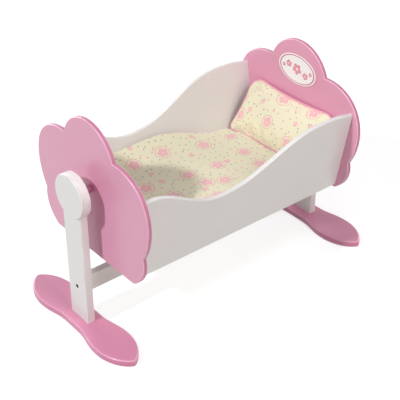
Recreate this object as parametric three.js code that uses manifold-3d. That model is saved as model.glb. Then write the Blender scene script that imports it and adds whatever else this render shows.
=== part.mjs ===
// A doll's swinging cradle: a painted wooden crib with flower-shaped ends and flared, wavy sides.
// It hangs by one bolt at each end between two round-headed posts, and holds a mattress,
// a quilt and a pillow.
// Millimetres, +Z up. X runs from the foot end (-X) to the head end (+X), and the floor is z = 0.
// The pieces at an end are drawn for the head end; the foot end is the same set turned half round.

import * as THREE from "three";
import { mergeVertices } from "three/addons/utils/BufferGeometryUtils.js";
import Module from "manifold-3d";

const wasm = await Module();
wasm.setup();

// Clearances
const SEAT_GAP = 0.3; // between pieces that lie on or are glued to one another
const BORE_GAP = 0.3; // round a pin, screw or dowel in its hole, on the radius
const SWING_GAP = 0.5; // along the pivot, so that the crib swings freely
const OVERRUN = 2; // how far a cutting body passes the face that it cuts
const WELD = 1e-3; // points closer than this are one point
const REPEAT = 1e-6; // an outline point this close to the last one is left out

// Paint, metal and cloth
const PINK = new THREE.MeshStandardMaterial({ color: 0xdca0bd, roughness: 0.4, metalness: 0 });
const WHITE = new THREE.MeshStandardMaterial({ color: 0xeeece6, roughness: 0.4, metalness: 0 });
const STEEL = new THREE.MeshStandardMaterial({ color: 0xb9bcc0, roughness: 0.35, metalness: 1 });
const NYLON = new THREE.MeshStandardMaterial({ color: 0xf4f4f0, roughness: 0.5, metalness: 0 });
const PINK_NYLON = new THREE.MeshStandardMaterial({ color: 0xcf87a6, roughness: 0.5, metalness: 0 });
const BEECH = new THREE.MeshStandardMaterial({ color: 0xd8b48a, roughness: 0.7, metalness: 0 });
const PLYWOOD = new THREE.MeshStandardMaterial({ color: 0xf0eee8, roughness: 0.5, metalness: 0 });
const PRINT = new THREE.MeshStandardMaterial({ color: 0xece8e6, roughness: 0.35, metalness: 0 });
const COTTON = new THREE.MeshStandardMaterial({ color: 0xede6cb, roughness: 0.9, metalness: 0 });

// Crib boards
const CRIB_LENGTH = 520; // over the outer faces of the two end boards
const BOARD = 9; // thickness of the end boards and the side panels
const CRIB_BOTTOM = 148; // lower edge of the end boards above the floor
const EDGE_ROUND = 2.5; // rounding of every painted edge
const EDGE_STEPS = 2;

// End board: a flower outline, as shares of its half width and its height
const END_WIDTH = 350;
const END_HEIGHT = 284;
const TOP_NOTCH_SHARES = [0.434, 0.81];
const SIDE_LOBE_SHARES = [[0.971, 0.824], [1.134, 0.509]]; // the two handles of its curve
const LOW_NOTCH_SHARES = [0.891, 0.25];
const LOW_LOBE_SHARES = [0.871, 0.107]; // half way along its arc
const LOW_LOBE_END_SHARES = [0.78, 0.036];
const BOTTOM_CORNER_SHARES = [0.72, 0];
const BOTTOM_EDGE_SHARES = [0.64, 0];
const LOBE_STEPS = 9;
const LOW_LOBE_STEPS = 5;
const CORNER_STEPS = 3;

// Side panels, flared outwards, with a wave along the top
const PANEL_BOTTOM = 156.5; // outer lower edge above the floor
const PANEL_INSET = 48; // outer lower edge, in from the widest place of the end boards
const FLARE = THREE.MathUtils.degToRad(10.1);
const PANEL_FOOT_HEIGHT = 183;
const PANEL_VALLEY_HEIGHT = 117;
const PANEL_HEAD_HEIGHT = 177;
const PANEL_CREST_RISE = 9; // above the head end
const VALLEY_SHARE = -0.27; // places along the half length of the panel
const CREST_SHARE = 0.67;
const WAVE_HANDLE_SHARE = 0.42;
const WAVE_STEPS = 12;

// Dowels between the panels and the end boards
const PANEL_DOWEL_RADIUS = 2.5;
const PANEL_DOWEL_LENGTH = 24;
const PANEL_DOWEL_IN_BOARD = 6;
const PANEL_DOWEL_SHARES = [0.14, 0.82]; // up that end of the panel
const SMALL_SIDES = 10;
const HEX_SIDES = 6;

// Base board on two cleats
const CLEAT_SIZE = 12;
const CLEAT_RISE = 1.2; // from the lower edge of the panel
const BASE_THICKNESS = 6;
const BASE_SCREW = { shank: 1.75, head: 3.6, length: 15, sink: 0.3 };
const BASE_SCREW_SHARES = [-0.82, 0, 0.82];

// Stand
const FOOT_THICKNESS = 15;
const FOOT_LENGTH = 336;
const FOOT_WIDTH = 77;
const FOOT_WAIST = 56.6;
const FOOT_WAIST_LENGTH = 40;
const FOOT_WIDEST_SHARE = 0.565; // of the half length, from the middle
const FOOT_FLANK_SHARES = [0.4, 0.44]; // handles of the curve from waist to widest
const FOOT_TIP_SHARES = [[1, 0.55], [0.42, 0.92]]; // handles of the curve from widest to tip
const FOOT_STEPS = 7;

const POST_GAP = 26; // between an end board and its post
const POST_WIDTH = 56;
const POST_THICKNESS = 17;
const PIVOT_HEIGHT = 292;
const POST_HEAD_RADIUS = 44;
const ROUND_SIDES = 36;

const FOOT_SCREW = { shank: 2.25, head: 4.5, length: 48, sink: 1 };
const FOOT_SCREW_PLACE = 9; // each side of the middle of the post
const FOOT_DOWEL_RADIUS = 4;
const FOOT_DOWEL_LENGTH = 30;
const FOOT_DOWEL_IN_FOOT = 10;
const FOOT_DOWEL_PLACE = 20;

const STRETCHER_DEPTH = 15;
const STRETCHER_HEIGHT = 38;
const STRETCHER_CENTRE = 90.5;
const STRETCHER_BOLT = { shank: 2.5, head: 3.8, headHeight: 4, length: 52, socket: 1.7, socketDepth: 2.4 };
const STRETCHER_BOLT_SINK = 3;
const BARREL_NUT = { radius: 5, length: 14, fromEnd: 30 };
const STRETCHER_DOWEL_RADIUS = 3;
const STRETCHER_DOWEL_LENGTH = 28;
const STRETCHER_DOWEL_IN_POST = 9;
const STRETCHER_DOWEL_RISE = 11.5; // above the bolt

// Pivot at each post head
const PIVOT_BOLT = { shoulder: 5, head: 8, headHeight: 4.5, thread: 4, socket: 2.9, socketDepth: 3 };
const BUSH = { radius: 7, flange: 11, flangeThickness: 2 };
const SLEEVE_RADIUS = 7.5;
const COUNTERBORE = { radius: 12, depth: 8 };
const HEAD_WASHER = { radius: 10, thickness: 1.6 };
const INSERT = { flange: 10, flangeThickness: 1.4, barrel: 5.6, depth: 7 };
const COVER_DISC = { thickness: 3.2, edge: 2.6, rimWall: 2.4, rimDepth: 1.6 };
const PIN_SIDES = 20;

// Oval plate on the head board
const PLATE = { width: 106, height: 64, thickness: 0.9, edge: 0.3 };
const PLATE_RISE_SHARE = 0.778; // of its middle, up the end board

// Bedding
const PIPING_RADIUS = 2;
const MATTRESS = { thickness: 23, corner: 14, edge: 6, sideGap: 1.8 };
const QUILT = { thin: 2, edge: 14, full: 24, turnUp: 46, corner: 24, sideGap: 0.9, drawIn: 1.5 };
const QUILT_ROLL = 8; // length of the rounded edge in front of the pillow
const QUILT_TUCK = 1.2; // how far that edge reaches in under the round of the pillow
const QUILT_RAMP = 200; // from where it starts to rise, at the pillow, to its full height
const PILLOW = { height: 125, sideGap: 2.5, edge: 8, crown: 8, corner: 20, drawIn: 4 };
const PILLOW_LEAN = THREE.MathUtils.degToRad(55);
const CUSHION_ROWS = 7; // from the middle of a cushion to its rim
const CUSHION_COLUMNS = 6; // between the corners of the pillow, or the quilt's ends and its ramp
const RAMP_COLUMNS = 9;

// Places worked out from the sizes above
const HALF_OUTER = CRIB_LENGTH / 2;
const HALF_INNER = HALF_OUTER - BOARD;
const PANEL_BOTTOM_HALF = END_WIDTH / 2 - PANEL_INSET;
const PANEL_CREST_HEIGHT = PANEL_HEAD_HEIGHT + PANEL_CREST_RISE;
const POST_INNER = HALF_OUTER + POST_GAP;
const POST_OUTER = POST_INNER + POST_THICKNESS;
const POST_MIDDLE = (POST_INNER + POST_OUTER) / 2;
const COUNTERBORE_FLOOR = POST_OUTER - COUNTERBORE.depth;
const BUSH_FACE = POST_INNER - SEAT_GAP - BUSH.flangeThickness;
const CLEAT_BOTTOM = PANEL_BOTTOM + CLEAT_RISE;
const CLEAT_TOP = CLEAT_BOTTOM + CLEAT_SIZE;
const BASE_BOTTOM = CLEAT_TOP + SEAT_GAP;
const BASE_TOP = BASE_BOTTOM + BASE_THICKNESS;
const CLEAT_MIDDLE = panelInside(CLEAT_TOP) - CLEAT_SIZE / 2 - SEAT_GAP;
const BOLT_HEAD_FACE = COUNTERBORE_FLOOR + 2 * SEAT_GAP + HEAD_WASHER.thickness;
const MATTRESS_BOTTOM = BASE_TOP + SEAT_GAP;
const MATTRESS_TOP = MATTRESS_BOTTOM + MATTRESS.thickness;
const QUILT_BOTTOM = MATTRESS_TOP + SEAT_GAP;
const PILLOW_BOTTOM = QUILT_BOTTOM + 2 * PIPING_RADIUS + QUILT.thin + SEAT_GAP;
const BED_END = HALF_INNER - PLATE.thickness - 2 * SEAT_GAP; // so that the bedding lifts past the plate

// Half the clear width between the flared panels at a height above the floor.
function panelInside(height) {
  return PANEL_BOTTOM_HALF + (height - PANEL_BOTTOM) * Math.tan(FLARE) - BOARD / Math.cos(FLARE);
}

// Where a point inside a side panel lies across the crib, and how high, for a place up its slope.
function panelMiddle(up) {
  return {
    across: PANEL_BOTTOM_HALF + up * Math.sin(FLARE) - (BOARD / 2) * Math.cos(FLARE),
    height: PANEL_BOTTOM + up * Math.cos(FLARE) + (BOARD / 2) * Math.sin(FLARE),
  };
}

// Solids and geometry

function toSolid(geometry) {
  const bare = new THREE.BufferGeometry();
  bare.setAttribute("position", geometry.getAttribute("position"));
  bare.setIndex(geometry.getIndex());
  const merged = mergeVertices(bare, WELD);
  const vertProperties = new Float32Array(merged.getAttribute("position").array);
  const triVerts = new Uint32Array(merged.getIndex().array);
  return new wasm.Manifold(new wasm.Mesh({ numProp: 3, vertProperties, triVerts }));
}

function toGeometry(solid) {
  const { vertProperties, triVerts } = solid.getMesh();
  const geometry = new THREE.BufferGeometry();
  geometry.setAttribute("position", new THREE.BufferAttribute(new Float32Array(vertProperties), 3));
  geometry.setIndex(new THREE.BufferAttribute(new Uint32Array(triVerts), 1));
  geometry.computeVertexNormals();
  return geometry;
}

// A geometry with each of the cutting geometries taken out of it.
function cut(geometry, cutters) {
  const cleared = cutters.reduce((solid, cutter) => solid.subtract(toSolid(cutter)), toSolid(geometry));
  return toGeometry(cleared);
}

// A geometry trimmed to a box given by its two corners.
function trim(geometry, low, high) {
  const sides = high.map((value, axis) => value - low[axis]);
  const box = new THREE.BoxGeometry(...sides);
  box.translate(...high.map((value, axis) => (value + low[axis]) / 2));
  return toGeometry(toSolid(geometry).intersect(toSolid(box)));
}

function point([x, y]) {
  return new THREE.Vector2(x, y);
}

// Points of the circular arc through three points.
function arcThrough(start, middle, end, steps) {
  const [a, b, c] = [point(start), point(middle), point(end)];
  const ab = b.clone().sub(a);
  const ac = c.clone().sub(a);
  const twice = 2 * ab.cross(ac);
  const centre = new THREE.Vector2(
    a.x + (ac.y * ab.lengthSq() - ab.y * ac.lengthSq()) / twice,
    a.y + (ab.x * ac.lengthSq() - ac.x * ab.lengthSq()) / twice,
  );
  const from = a.clone().sub(centre).angle();
  const turn = 2 * Math.PI;
  const sign = twice < 0 ? -1 : 1;
  const sweep = (((sign * (c.clone().sub(centre).angle() - from)) % turn) + turn) % turn;
  const radius = a.distanceTo(centre);
  const list = [];
  for (let i = 0; i <= steps; i += 1) {
    const angle = from + (sign * sweep * i) / steps;
    list.push([centre.x + radius * Math.cos(angle), centre.y + radius * Math.sin(angle)]);
  }
  return list;
}

function bezier(start, first, second, end, steps) {
  const curve = new THREE.CubicBezierCurve(point(start), point(first), point(second), point(end));
  return curve.getPoints(steps).map(({ x, y }) => [x, y]);
}

// A closed shape from lists of points, leaving out a point that repeats the one before it.
function shapeOf(...lists) {
  const kept = lists.flat().filter(([x, y], i, all) => {
    const [px, py] = all[(i + all.length - 1) % all.length];
    return Math.hypot(x - px, y - py) > REPEAT;
  });
  return new THREE.Shape(kept.map(point));
}

function mirrored(points, alongX, alongY) {
  return points.map(([x, y]) => [alongX * x, alongY * y]).reverse();
}

// A flat board with rounded edges, from z = 0 up to its thickness.
function flatBoard(shape, thickness, edge, curveSegments = LOBE_STEPS) {
  const geometry = new THREE.ExtrudeGeometry(shape, {
    depth: thickness - 2 * edge,
    bevelEnabled: true,
    bevelThickness: edge,
    bevelSize: edge,
    bevelOffset: -edge,
    bevelSegments: EDGE_STEPS,
    curveSegments,
  });
  return geometry.translate(0, 0, edge);
}

// Turns a board drawn in XY so that its shape stands in the YZ plane and its thickness runs along +X.
function stood(geometry) {
  return geometry.rotateX(Math.PI / 2).rotateZ(Math.PI / 2);
}

function cylinderX(radius, from, to, y, z, sides) {
  const geometry = new THREE.CylinderGeometry(radius, radius, to - from, sides);
  return geometry.rotateZ(Math.PI / 2).translate((from + to) / 2, y, z);
}

function cylinderZ(radius, from, to, x, y, sides) {
  const geometry = new THREE.CylinderGeometry(radius, radius, to - from, sides);
  return geometry.rotateX(Math.PI / 2).translate(x, y, (from + to) / 2);
}

// A body of revolution about Z from points of [radius, height], listed upwards on the outside.
function turned(points, sides) {
  return new THREE.LatheGeometry(points.map(point), sides).rotateX(Math.PI / 2);
}

// The same about X: heights run along +X.
function turnedX(points, sides) {
  return turned(points, sides).rotateY(Math.PI / 2);
}

function ring(inner, outer, from, to) {
  return [[inner, from], [outer, from], [outer, to], [inner, to], [inner, from]];
}

function mesh(name, geometry, material) {
  const made = new THREE.Mesh(geometry, material);
  made.name = name;
  return made;
}

// Fasteners

// A countersunk wood screw, point up, the flat of its head at z = 0.
function woodScrew({ shank, head, length }) {
  const neck = head - shank;
  const tip = length - 2 * shank;
  return turned([[0, 0], [head, 0], [shank, neck], [shank, tip], [0, length]], SMALL_SIDES);
}

// The hole for it, from below the head to past its point.
function woodScrewHole({ shank, head, length, sink }) {
  const neck = head - shank;
  const wide = head + BORE_GAP;
  const narrow = shank + BORE_GAP;
  const mouth = [[0, -sink - OVERRUN], [wide, -sink - OVERRUN], [wide, 0]];
  const bore = [[narrow, neck], [narrow, length + BORE_GAP], [0, length + BORE_GAP]];
  return turned([...mouth, ...bore], SMALL_SIDES);
}

// A socket-head bolt along -X, the top of its head at x = 0.
function socketBolt({ shank, head, headHeight, length, socket, socketDepth }) {
  const body = turnedX(
    [[0, -length], [shank, -length], [shank, -headHeight], [head, -headHeight], [head, 0], [0, 0]],
    SMALL_SIDES,
  );
  return cut(body, [cylinderX(socket, -socketDepth, OVERRUN, 0, 0, HEX_SIDES)]);
}

// Stand

function footBoard() {
  const widest = (FOOT_LENGTH / 2) * FOOT_WIDEST_SHARE;
  const straight = FOOT_WAIST_LENGTH / 2;
  const [low, high] = FOOT_FLANK_SHARES;
  const flank = bezier(
    [FOOT_WAIST / 2, straight],
    [FOOT_WAIST / 2, straight + low * (widest - straight)],
    [FOOT_WIDTH / 2, widest - high * (widest - straight)],
    [FOOT_WIDTH / 2, widest],
    FOOT_STEPS,
  );
  const reach = FOOT_LENGTH / 2 - widest;
  const handles = FOOT_TIP_SHARES.map(([out, along]) => [(out * FOOT_WIDTH) / 2, widest + along * reach]);
  const tip = bezier([FOOT_WIDTH / 2, widest], ...handles, [0, FOOT_LENGTH / 2], FOOT_STEPS);
  const quarter = [...flank, ...tip];
  const outline = shapeOf(
    quarter,
    mirrored(quarter, -1, 1),
    quarter.map(([x, y]) => [-x, -y]),
    mirrored(quarter, 1, -1),
  );
  const holes = [-1, 1].flatMap((side) => [
    woodScrewHole(FOOT_SCREW).translate(0, side * FOOT_SCREW_PLACE, FOOT_SCREW.sink),
    cylinderZ(
      FOOT_DOWEL_RADIUS + BORE_GAP,
      FOOT_THICKNESS - FOOT_DOWEL_IN_FOOT - BORE_GAP,
      FOOT_THICKNESS + OVERRUN,
      0,
      side * FOOT_DOWEL_PLACE,
      SMALL_SIDES,
    ),
  ]);
  return cut(flatBoard(outline, FOOT_THICKNESS, EDGE_ROUND), holes).translate(POST_MIDDLE, 0, 0);
}

// A post with a round head, square at its lower end, drilled for its bolts, screws and dowels.
function post() {
  const bottom = FOOT_THICKNESS + SEAT_GAP;
  const spread = Math.asin(POST_WIDTH / 2 / POST_HEAD_RADIUS);
  const outline = new THREE.Shape();
  outline.moveTo(-POST_WIDTH / 2, bottom - EDGE_ROUND);
  outline.lineTo(POST_WIDTH / 2, bottom - EDGE_ROUND);
  outline.absarc(0, PIVOT_HEIGHT, POST_HEAD_RADIUS, spread - Math.PI / 2, 1.5 * Math.PI - spread);
  const blank = stood(flatBoard(outline, POST_THICKNESS, EDGE_ROUND, ROUND_SIDES / 2));
  blank.translate(POST_INNER, 0, 0);
  const top = PIVOT_HEIGHT + POST_HEAD_RADIUS + OVERRUN;
  const squared = trim(
    blank,
    [POST_INNER - OVERRUN, -POST_HEAD_RADIUS - OVERRUN, bottom],
    [POST_OUTER + OVERRUN, POST_HEAD_RADIUS + OVERRUN, top],
  );
  const past = POST_OUTER + OVERRUN;
  const before = POST_INNER - OVERRUN;
  const boltSeat = POST_OUTER - STRETCHER_BOLT_SINK - STRETCHER_BOLT.headHeight - BORE_GAP;
  const dowelEnd = POST_INNER + STRETCHER_DOWEL_IN_POST + BORE_GAP;
  const dowelHeight = STRETCHER_CENTRE + STRETCHER_DOWEL_RISE;
  const boltBore = STRETCHER_BOLT.shank + BORE_GAP;
  const boltRecess = STRETCHER_BOLT.head + BORE_GAP;
  const dowelTop = FOOT_THICKNESS - FOOT_DOWEL_IN_FOOT + FOOT_DOWEL_LENGTH + BORE_GAP;
  const cutters = [
    cylinderX(BUSH.radius + BORE_GAP, before, past, 0, PIVOT_HEIGHT, PIN_SIDES),
    cylinderX(COUNTERBORE.radius, COUNTERBORE_FLOOR, past, 0, PIVOT_HEIGHT, PIN_SIDES),
    cylinderX(boltBore, before, past, 0, STRETCHER_CENTRE, SMALL_SIDES),
    cylinderX(boltRecess, boltSeat, past, 0, STRETCHER_CENTRE, SMALL_SIDES),
    cylinderX(STRETCHER_DOWEL_RADIUS + BORE_GAP, before, dowelEnd, 0, dowelHeight, SMALL_SIDES),
  ];
  for (const side of [-1, 1]) {
    const screw = woodScrewHole(FOOT_SCREW);
    cutters.push(screw.translate(POST_MIDDLE, side * FOOT_SCREW_PLACE, FOOT_SCREW.sink));
    const place = [POST_MIDDLE, side * FOOT_DOWEL_PLACE];
    const radius = FOOT_DOWEL_RADIUS + BORE_GAP;
    cutters.push(cylinderZ(radius, bottom - OVERRUN, dowelTop, ...place, SMALL_SIDES));
  }
  return cut(squared, cutters);
}

function stretcher() {
  const half = POST_INNER - SEAT_GAP;
  const [y, z] = [STRETCHER_DEPTH / 2, STRETCHER_HEIGHT / 2];
  const section = new THREE.Shape();
  section.moveTo(y, EDGE_ROUND - z);
  section.absarc(y - EDGE_ROUND, z - EDGE_ROUND, EDGE_ROUND, 0, Math.PI / 2);
  section.absarc(EDGE_ROUND - y, z - EDGE_ROUND, EDGE_ROUND, Math.PI / 2, Math.PI);
  section.absarc(EDGE_ROUND - y, EDGE_ROUND - z, EDGE_ROUND, Math.PI, 1.5 * Math.PI);
  section.absarc(y - EDGE_ROUND, EDGE_ROUND - z, EDGE_ROUND, 1.5 * Math.PI, 2 * Math.PI);
  const options = { depth: 2 * half, bevelEnabled: false, curveSegments: EDGE_STEPS };
  const bar = stood(new THREE.ExtrudeGeometry(section, options)).translate(-half, 0, STRETCHER_CENTRE);
  const boltEnd = POST_OUTER - STRETCHER_BOLT_SINK - STRETCHER_BOLT.length - BORE_GAP;
  const dowelEnd = POST_INNER + STRETCHER_DOWEL_IN_POST - STRETCHER_DOWEL_LENGTH - BORE_GAP;
  const dowelHeight = STRETCHER_CENTRE + STRETCHER_DOWEL_RISE;
  const nutPlace = POST_INNER - BARREL_NUT.fromEnd;
  const holes = [-1, 1].flatMap((end) => [
    cylinderX(STRETCHER_BOLT.shank + BORE_GAP, boltEnd, half + OVERRUN, 0, STRETCHER_CENTRE, SMALL_SIDES),
    cylinderX(STRETCHER_DOWEL_RADIUS + BORE_GAP, dowelEnd, half + OVERRUN, 0, dowelHeight, SMALL_SIDES),
    cylinderZ(
      BARREL_NUT.radius + BORE_GAP,
      STRETCHER_CENTRE - STRETCHER_HEIGHT / 2 - OVERRUN,
      STRETCHER_CENTRE + BARREL_NUT.length / 2 + BORE_GAP,
      nutPlace,
      0,
      PIN_SIDES,
    ),
  ].map((hole) => (end < 0 ? hole.rotateZ(Math.PI) : hole)));
  return cut(bar, holes);
}

function barrelNut() {
  const half = BARREL_NUT.length / 2;
  const place = POST_INNER - BARREL_NUT.fromEnd;
  const [from, to] = [STRETCHER_CENTRE - half, STRETCHER_CENTRE + half];
  const body = cylinderZ(BARREL_NUT.radius, from, to, place, 0, PIN_SIDES);
  const reach = BARREL_NUT.radius + OVERRUN;
  const bore = STRETCHER_BOLT.shank + BORE_GAP;
  return cut(body, [cylinderX(bore, place - reach, place + reach, 0, STRETCHER_CENTRE, SMALL_SIDES)]);
}

// Pivot pieces

// A nylon bush pressed into the post from the crib's side, its flange against the post.
function pivotBush() {
  const inner = PIVOT_BOLT.shoulder + BORE_GAP;
  const end = COUNTERBORE_FLOOR - SEAT_GAP;
  const flangeFace = BUSH_FACE + BUSH.flangeThickness;
  const profile = [
    [inner, BUSH_FACE],
    [BUSH.flange, BUSH_FACE],
    [BUSH.flange, flangeFace],
    [BUSH.radius, flangeFace],
    [BUSH.radius, end],
    [inner, end],
    [inner, BUSH_FACE],
  ];
  return turnedX(profile, PIN_SIDES).translate(0, 0, PIVOT_HEIGHT);
}

function headWasher() {
  const from = COUNTERBORE_FLOOR + SEAT_GAP;
  const bore = PIVOT_BOLT.shoulder + BORE_GAP;
  const profile = ring(bore, HEAD_WASHER.radius, from, from + HEAD_WASHER.thickness);
  return turnedX(profile, PIN_SIDES).translate(0, 0, PIVOT_HEIGHT);
}

// A round cover with an eased rim, and behind it a short collar that fits the counterbore.
function coverDisc() {
  const back = POST_OUTER + SEAT_GAP;
  const face = back + COVER_DISC.thickness;
  const collar = COUNTERBORE.radius - BORE_GAP;
  const hollow = collar - COVER_DISC.rimWall;
  const eased = [1, 2, 3].map((step) => {
    const angle = (step * Math.PI) / 6;
    const out = POST_HEAD_RADIUS - COVER_DISC.edge * (1 - Math.cos(angle));
    return [out, face - COVER_DISC.edge * (1 - Math.sin(angle))];
  });
  const profile = [
    [0, back],
    [hollow, back],
    [hollow, back - COVER_DISC.rimDepth],
    [collar, back - COVER_DISC.rimDepth],
    [collar, back],
    [POST_HEAD_RADIUS, back],
    [POST_HEAD_RADIUS, face - COVER_DISC.edge],
    ...eased,
    [0, face],
  ];
  return turnedX(profile, ROUND_SIDES).translate(0, 0, PIVOT_HEIGHT);
}

// A shoulder bolt: it runs in the bush and screws into the insert in the end board.
function pivotBolt() {
  const top = BOLT_HEAD_FACE + PIVOT_BOLT.headHeight;
  const shoulderEnd = HALF_OUTER + SEAT_GAP;
  const threadEnd = HALF_OUTER - INSERT.depth + SEAT_GAP;
  const profile = [
    [0, threadEnd],
    [PIVOT_BOLT.thread, threadEnd],
    [PIVOT_BOLT.thread, shoulderEnd],
    [PIVOT_BOLT.shoulder, shoulderEnd],
    [PIVOT_BOLT.shoulder, BOLT_HEAD_FACE],
    [PIVOT_BOLT.head, BOLT_HEAD_FACE],
    [PIVOT_BOLT.head, top],
    [0, top],
  ];
  const body = turnedX(profile, PIN_SIDES);
  const bottom = top - PIVOT_BOLT.socketDepth;
  const socket = cylinderX(PIVOT_BOLT.socket, bottom, top + OVERRUN, 0, 0, HEX_SIDES);
  return cut(body, [socket]).translate(0, 0, PIVOT_HEIGHT);
}

function spacerSleeve() {
  const profile = ring(
    PIVOT_BOLT.shoulder + BORE_GAP,
    SLEEVE_RADIUS,
    HALF_OUTER + SEAT_GAP,
    BUSH_FACE - SWING_GAP,
  );
  return turnedX(profile, PIN_SIDES).translate(0, 0, PIVOT_HEIGHT);
}

// A threaded insert sunk flush into the outer face of the end board, whose hole stops short of the bed.
function pivotInsert() {
  const bore = PIVOT_BOLT.thread + BORE_GAP;
  const end = HALF_OUTER - INSERT.depth;
  const back = HALF_OUTER - INSERT.flangeThickness;
  const profile = [
    [bore, end],
    [INSERT.barrel, end],
    [INSERT.barrel, back],
    [INSERT.flange, back],
    [INSERT.flange, HALF_OUTER],
    [bore, HALF_OUTER],
    [bore, end],
  ];
  return turnedX(profile, PIN_SIDES).translate(0, 0, PIVOT_HEIGHT);
}

// Crib

function endOutline() {
  const at = ([across, up]) => [(across * END_WIDTH) / 2, up * END_HEIGHT];
  const flip = ([x, y]) => [-x, y];
  const notch = at(TOP_NOTCH_SHARES);
  const top = arcThrough(notch, [0, END_HEIGHT], flip(notch), 2 * LOBE_STEPS);
  const sideLobe = bezier(
    at(LOW_NOTCH_SHARES),
    at(SIDE_LOBE_SHARES[1]),
    at(SIDE_LOBE_SHARES[0]),
    notch,
    2 * LOBE_STEPS,
  );
  const [lobeEnd, lobeMiddle] = [at(LOW_LOBE_END_SHARES), at(LOW_LOBE_SHARES)];
  const lowLobe = arcThrough(lobeEnd, lobeMiddle, at(LOW_NOTCH_SHARES), LOW_LOBE_STEPS);
  const [edge, bend] = [at(BOTTOM_EDGE_SHARES), at(BOTTOM_CORNER_SHARES)];
  const corner = bezier(edge, bend, bend, lobeEnd, CORNER_STEPS);
  const right = [...corner, ...lowLobe, ...sideLobe];
  return shapeOf(right, top, mirrored(right, -1, 1));
}

// An end board, for a crib whose panels have this height at that end.
function endBoard(panelHeight) {
  const blank = stood(flatBoard(endOutline(), BOARD, EDGE_ROUND)).translate(HALF_INNER, 0, CRIB_BOTTOM);
  const before = HALF_INNER - OVERRUN;
  const past = HALF_OUTER + OVERRUN;
  const flangeSeat = HALF_OUTER - INSERT.flangeThickness - SEAT_GAP;
  const boreEnd = HALF_OUTER - INSERT.depth - SEAT_GAP;
  const cutters = [
    cylinderX(INSERT.barrel + BORE_GAP, boreEnd, past, 0, PIVOT_HEIGHT, PIN_SIDES),
    cylinderX(INSERT.flange + BORE_GAP, flangeSeat, past, 0, PIVOT_HEIGHT, PIN_SIDES),
  ];
  const depth = HALF_INNER + PANEL_DOWEL_IN_BOARD + BORE_GAP;
  for (const share of PANEL_DOWEL_SHARES) {
    const { across, height } = panelMiddle(share * panelHeight);
    for (const side of [-1, 1]) {
      const radius = PANEL_DOWEL_RADIUS + BORE_GAP;
      cutters.push(cylinderX(radius, before, depth, side * across, height, SMALL_SIDES));
    }
  }
  return cut(blank, cutters);
}

// The wavy outline of a side panel, from its lower edge at y = 0, longer at each end than the panel.
function panelOutline(half) {
  const past = half + EDGE_ROUND + OVERRUN;
  const valley = [half * VALLEY_SHARE, PANEL_VALLEY_HEIGHT];
  const crest = [half * CREST_SHARE, PANEL_CREST_HEIGHT];
  const wave = (from, to) => {
    const handle = WAVE_HANDLE_SHARE * (to[0] - from[0]);
    return bezier(from, [from[0] + handle, from[1]], [to[0] - handle, to[1]], to, WAVE_STEPS);
  };
  const end = [half, PANEL_HEAD_HEIGHT];
  const handle = WAVE_HANDLE_SHARE * (half - crest[0]);
  const fall = bezier(crest, [crest[0] + handle, crest[1]], [half - handle, crest[1]], end, CORNER_STEPS);
  const top = [
    [-past, PANEL_FOOT_HEIGHT],
    ...wave([-half, PANEL_FOOT_HEIGHT], valley),
    ...wave(valley, crest),
    ...fall,
    [past, PANEL_HEAD_HEIGHT],
  ];
  return shapeOf([[past, 0], [-past, 0]], top);
}

// A side panel lying in XY with its outer face at z = 0 and its inner face above it.
function sidePanel() {
  const half = HALF_INNER - SEAT_GAP;
  const blank = flatBoard(panelOutline(half), BOARD, EDGE_ROUND);
  const top = Math.max(PANEL_CREST_HEIGHT, PANEL_FOOT_HEIGHT, PANEL_HEAD_HEIGHT) + OVERRUN;
  const squared = trim(blank, [-half, -OVERRUN, -OVERRUN], [half, top, BOARD + OVERRUN]);
  const depth = HALF_INNER + PANEL_DOWEL_IN_BOARD - PANEL_DOWEL_LENGTH - BORE_GAP;
  const radius = PANEL_DOWEL_RADIUS + BORE_GAP;
  const round = [BOARD / 2, SMALL_SIDES];
  const holes = PANEL_DOWEL_SHARES.flatMap((share) => [
    cylinderX(radius, depth, half + OVERRUN, share * PANEL_HEAD_HEIGHT, ...round),
    cylinderX(radius, -half - OVERRUN, -depth, share * PANEL_FOOT_HEIGHT, ...round),
  ]);
  return cut(squared, holes);
}

// A cleat along the foot of the back panel, its outer face cut to the flare.
function cleat() {
  const half = HALF_INNER - SEAT_GAP;
  const gap = SEAT_GAP / Math.cos(FLARE);
  const inner = panelInside(CLEAT_BOTTOM) - gap - CLEAT_SIZE;
  const section = shapeOf([
    [inner, CLEAT_BOTTOM],
    [panelInside(CLEAT_BOTTOM) - gap, CLEAT_BOTTOM],
    [panelInside(CLEAT_TOP) - gap, CLEAT_TOP],
    [inner, CLEAT_TOP],
  ]);
  const options = { depth: 2 * half, bevelEnabled: false };
  const bar = stood(new THREE.ExtrudeGeometry(section, options)).translate(-half, 0, 0);
  return cut(bar, BASE_SCREW_SHARES.map((share) => baseScrewHole(share, 1)));
}

function baseScrewPlace(share, side) {
  return [share * HALF_INNER, side * CLEAT_MIDDLE, BASE_TOP - BASE_SCREW.sink];
}

function baseScrewHole(share, side) {
  return woodScrewHole(BASE_SCREW).rotateX(Math.PI).translate(...baseScrewPlace(share, side));
}

function baseBoard() {
  const length = 2 * (HALF_INNER - SEAT_GAP);
  const width = 2 * (panelInside(BASE_BOTTOM) - SEAT_GAP / Math.cos(FLARE));
  const plate = new THREE.BoxGeometry(length, width, BASE_THICKNESS);
  plate.translate(0, 0, (BASE_BOTTOM + BASE_TOP) / 2);
  const holes = BASE_SCREW_SHARES.flatMap((share) => [-1, 1].map((side) => baseScrewHole(share, side)));
  return cut(plate, holes);
}

function ovalPlate() {
  const oval = new THREE.Shape();
  oval.absellipse(0, 0, PLATE.width / 2, PLATE.height / 2, 0, 2 * Math.PI);
  const plate = stood(flatBoard(oval, PLATE.thickness, PLATE.edge, LOBE_STEPS * 2));
  const rise = CRIB_BOTTOM + PLATE_RISE_SHARE * END_HEIGHT;
  return plate.translate(HALF_INNER - SEAT_GAP - PLATE.thickness, 0, rise);
}

// Bedding

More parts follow.
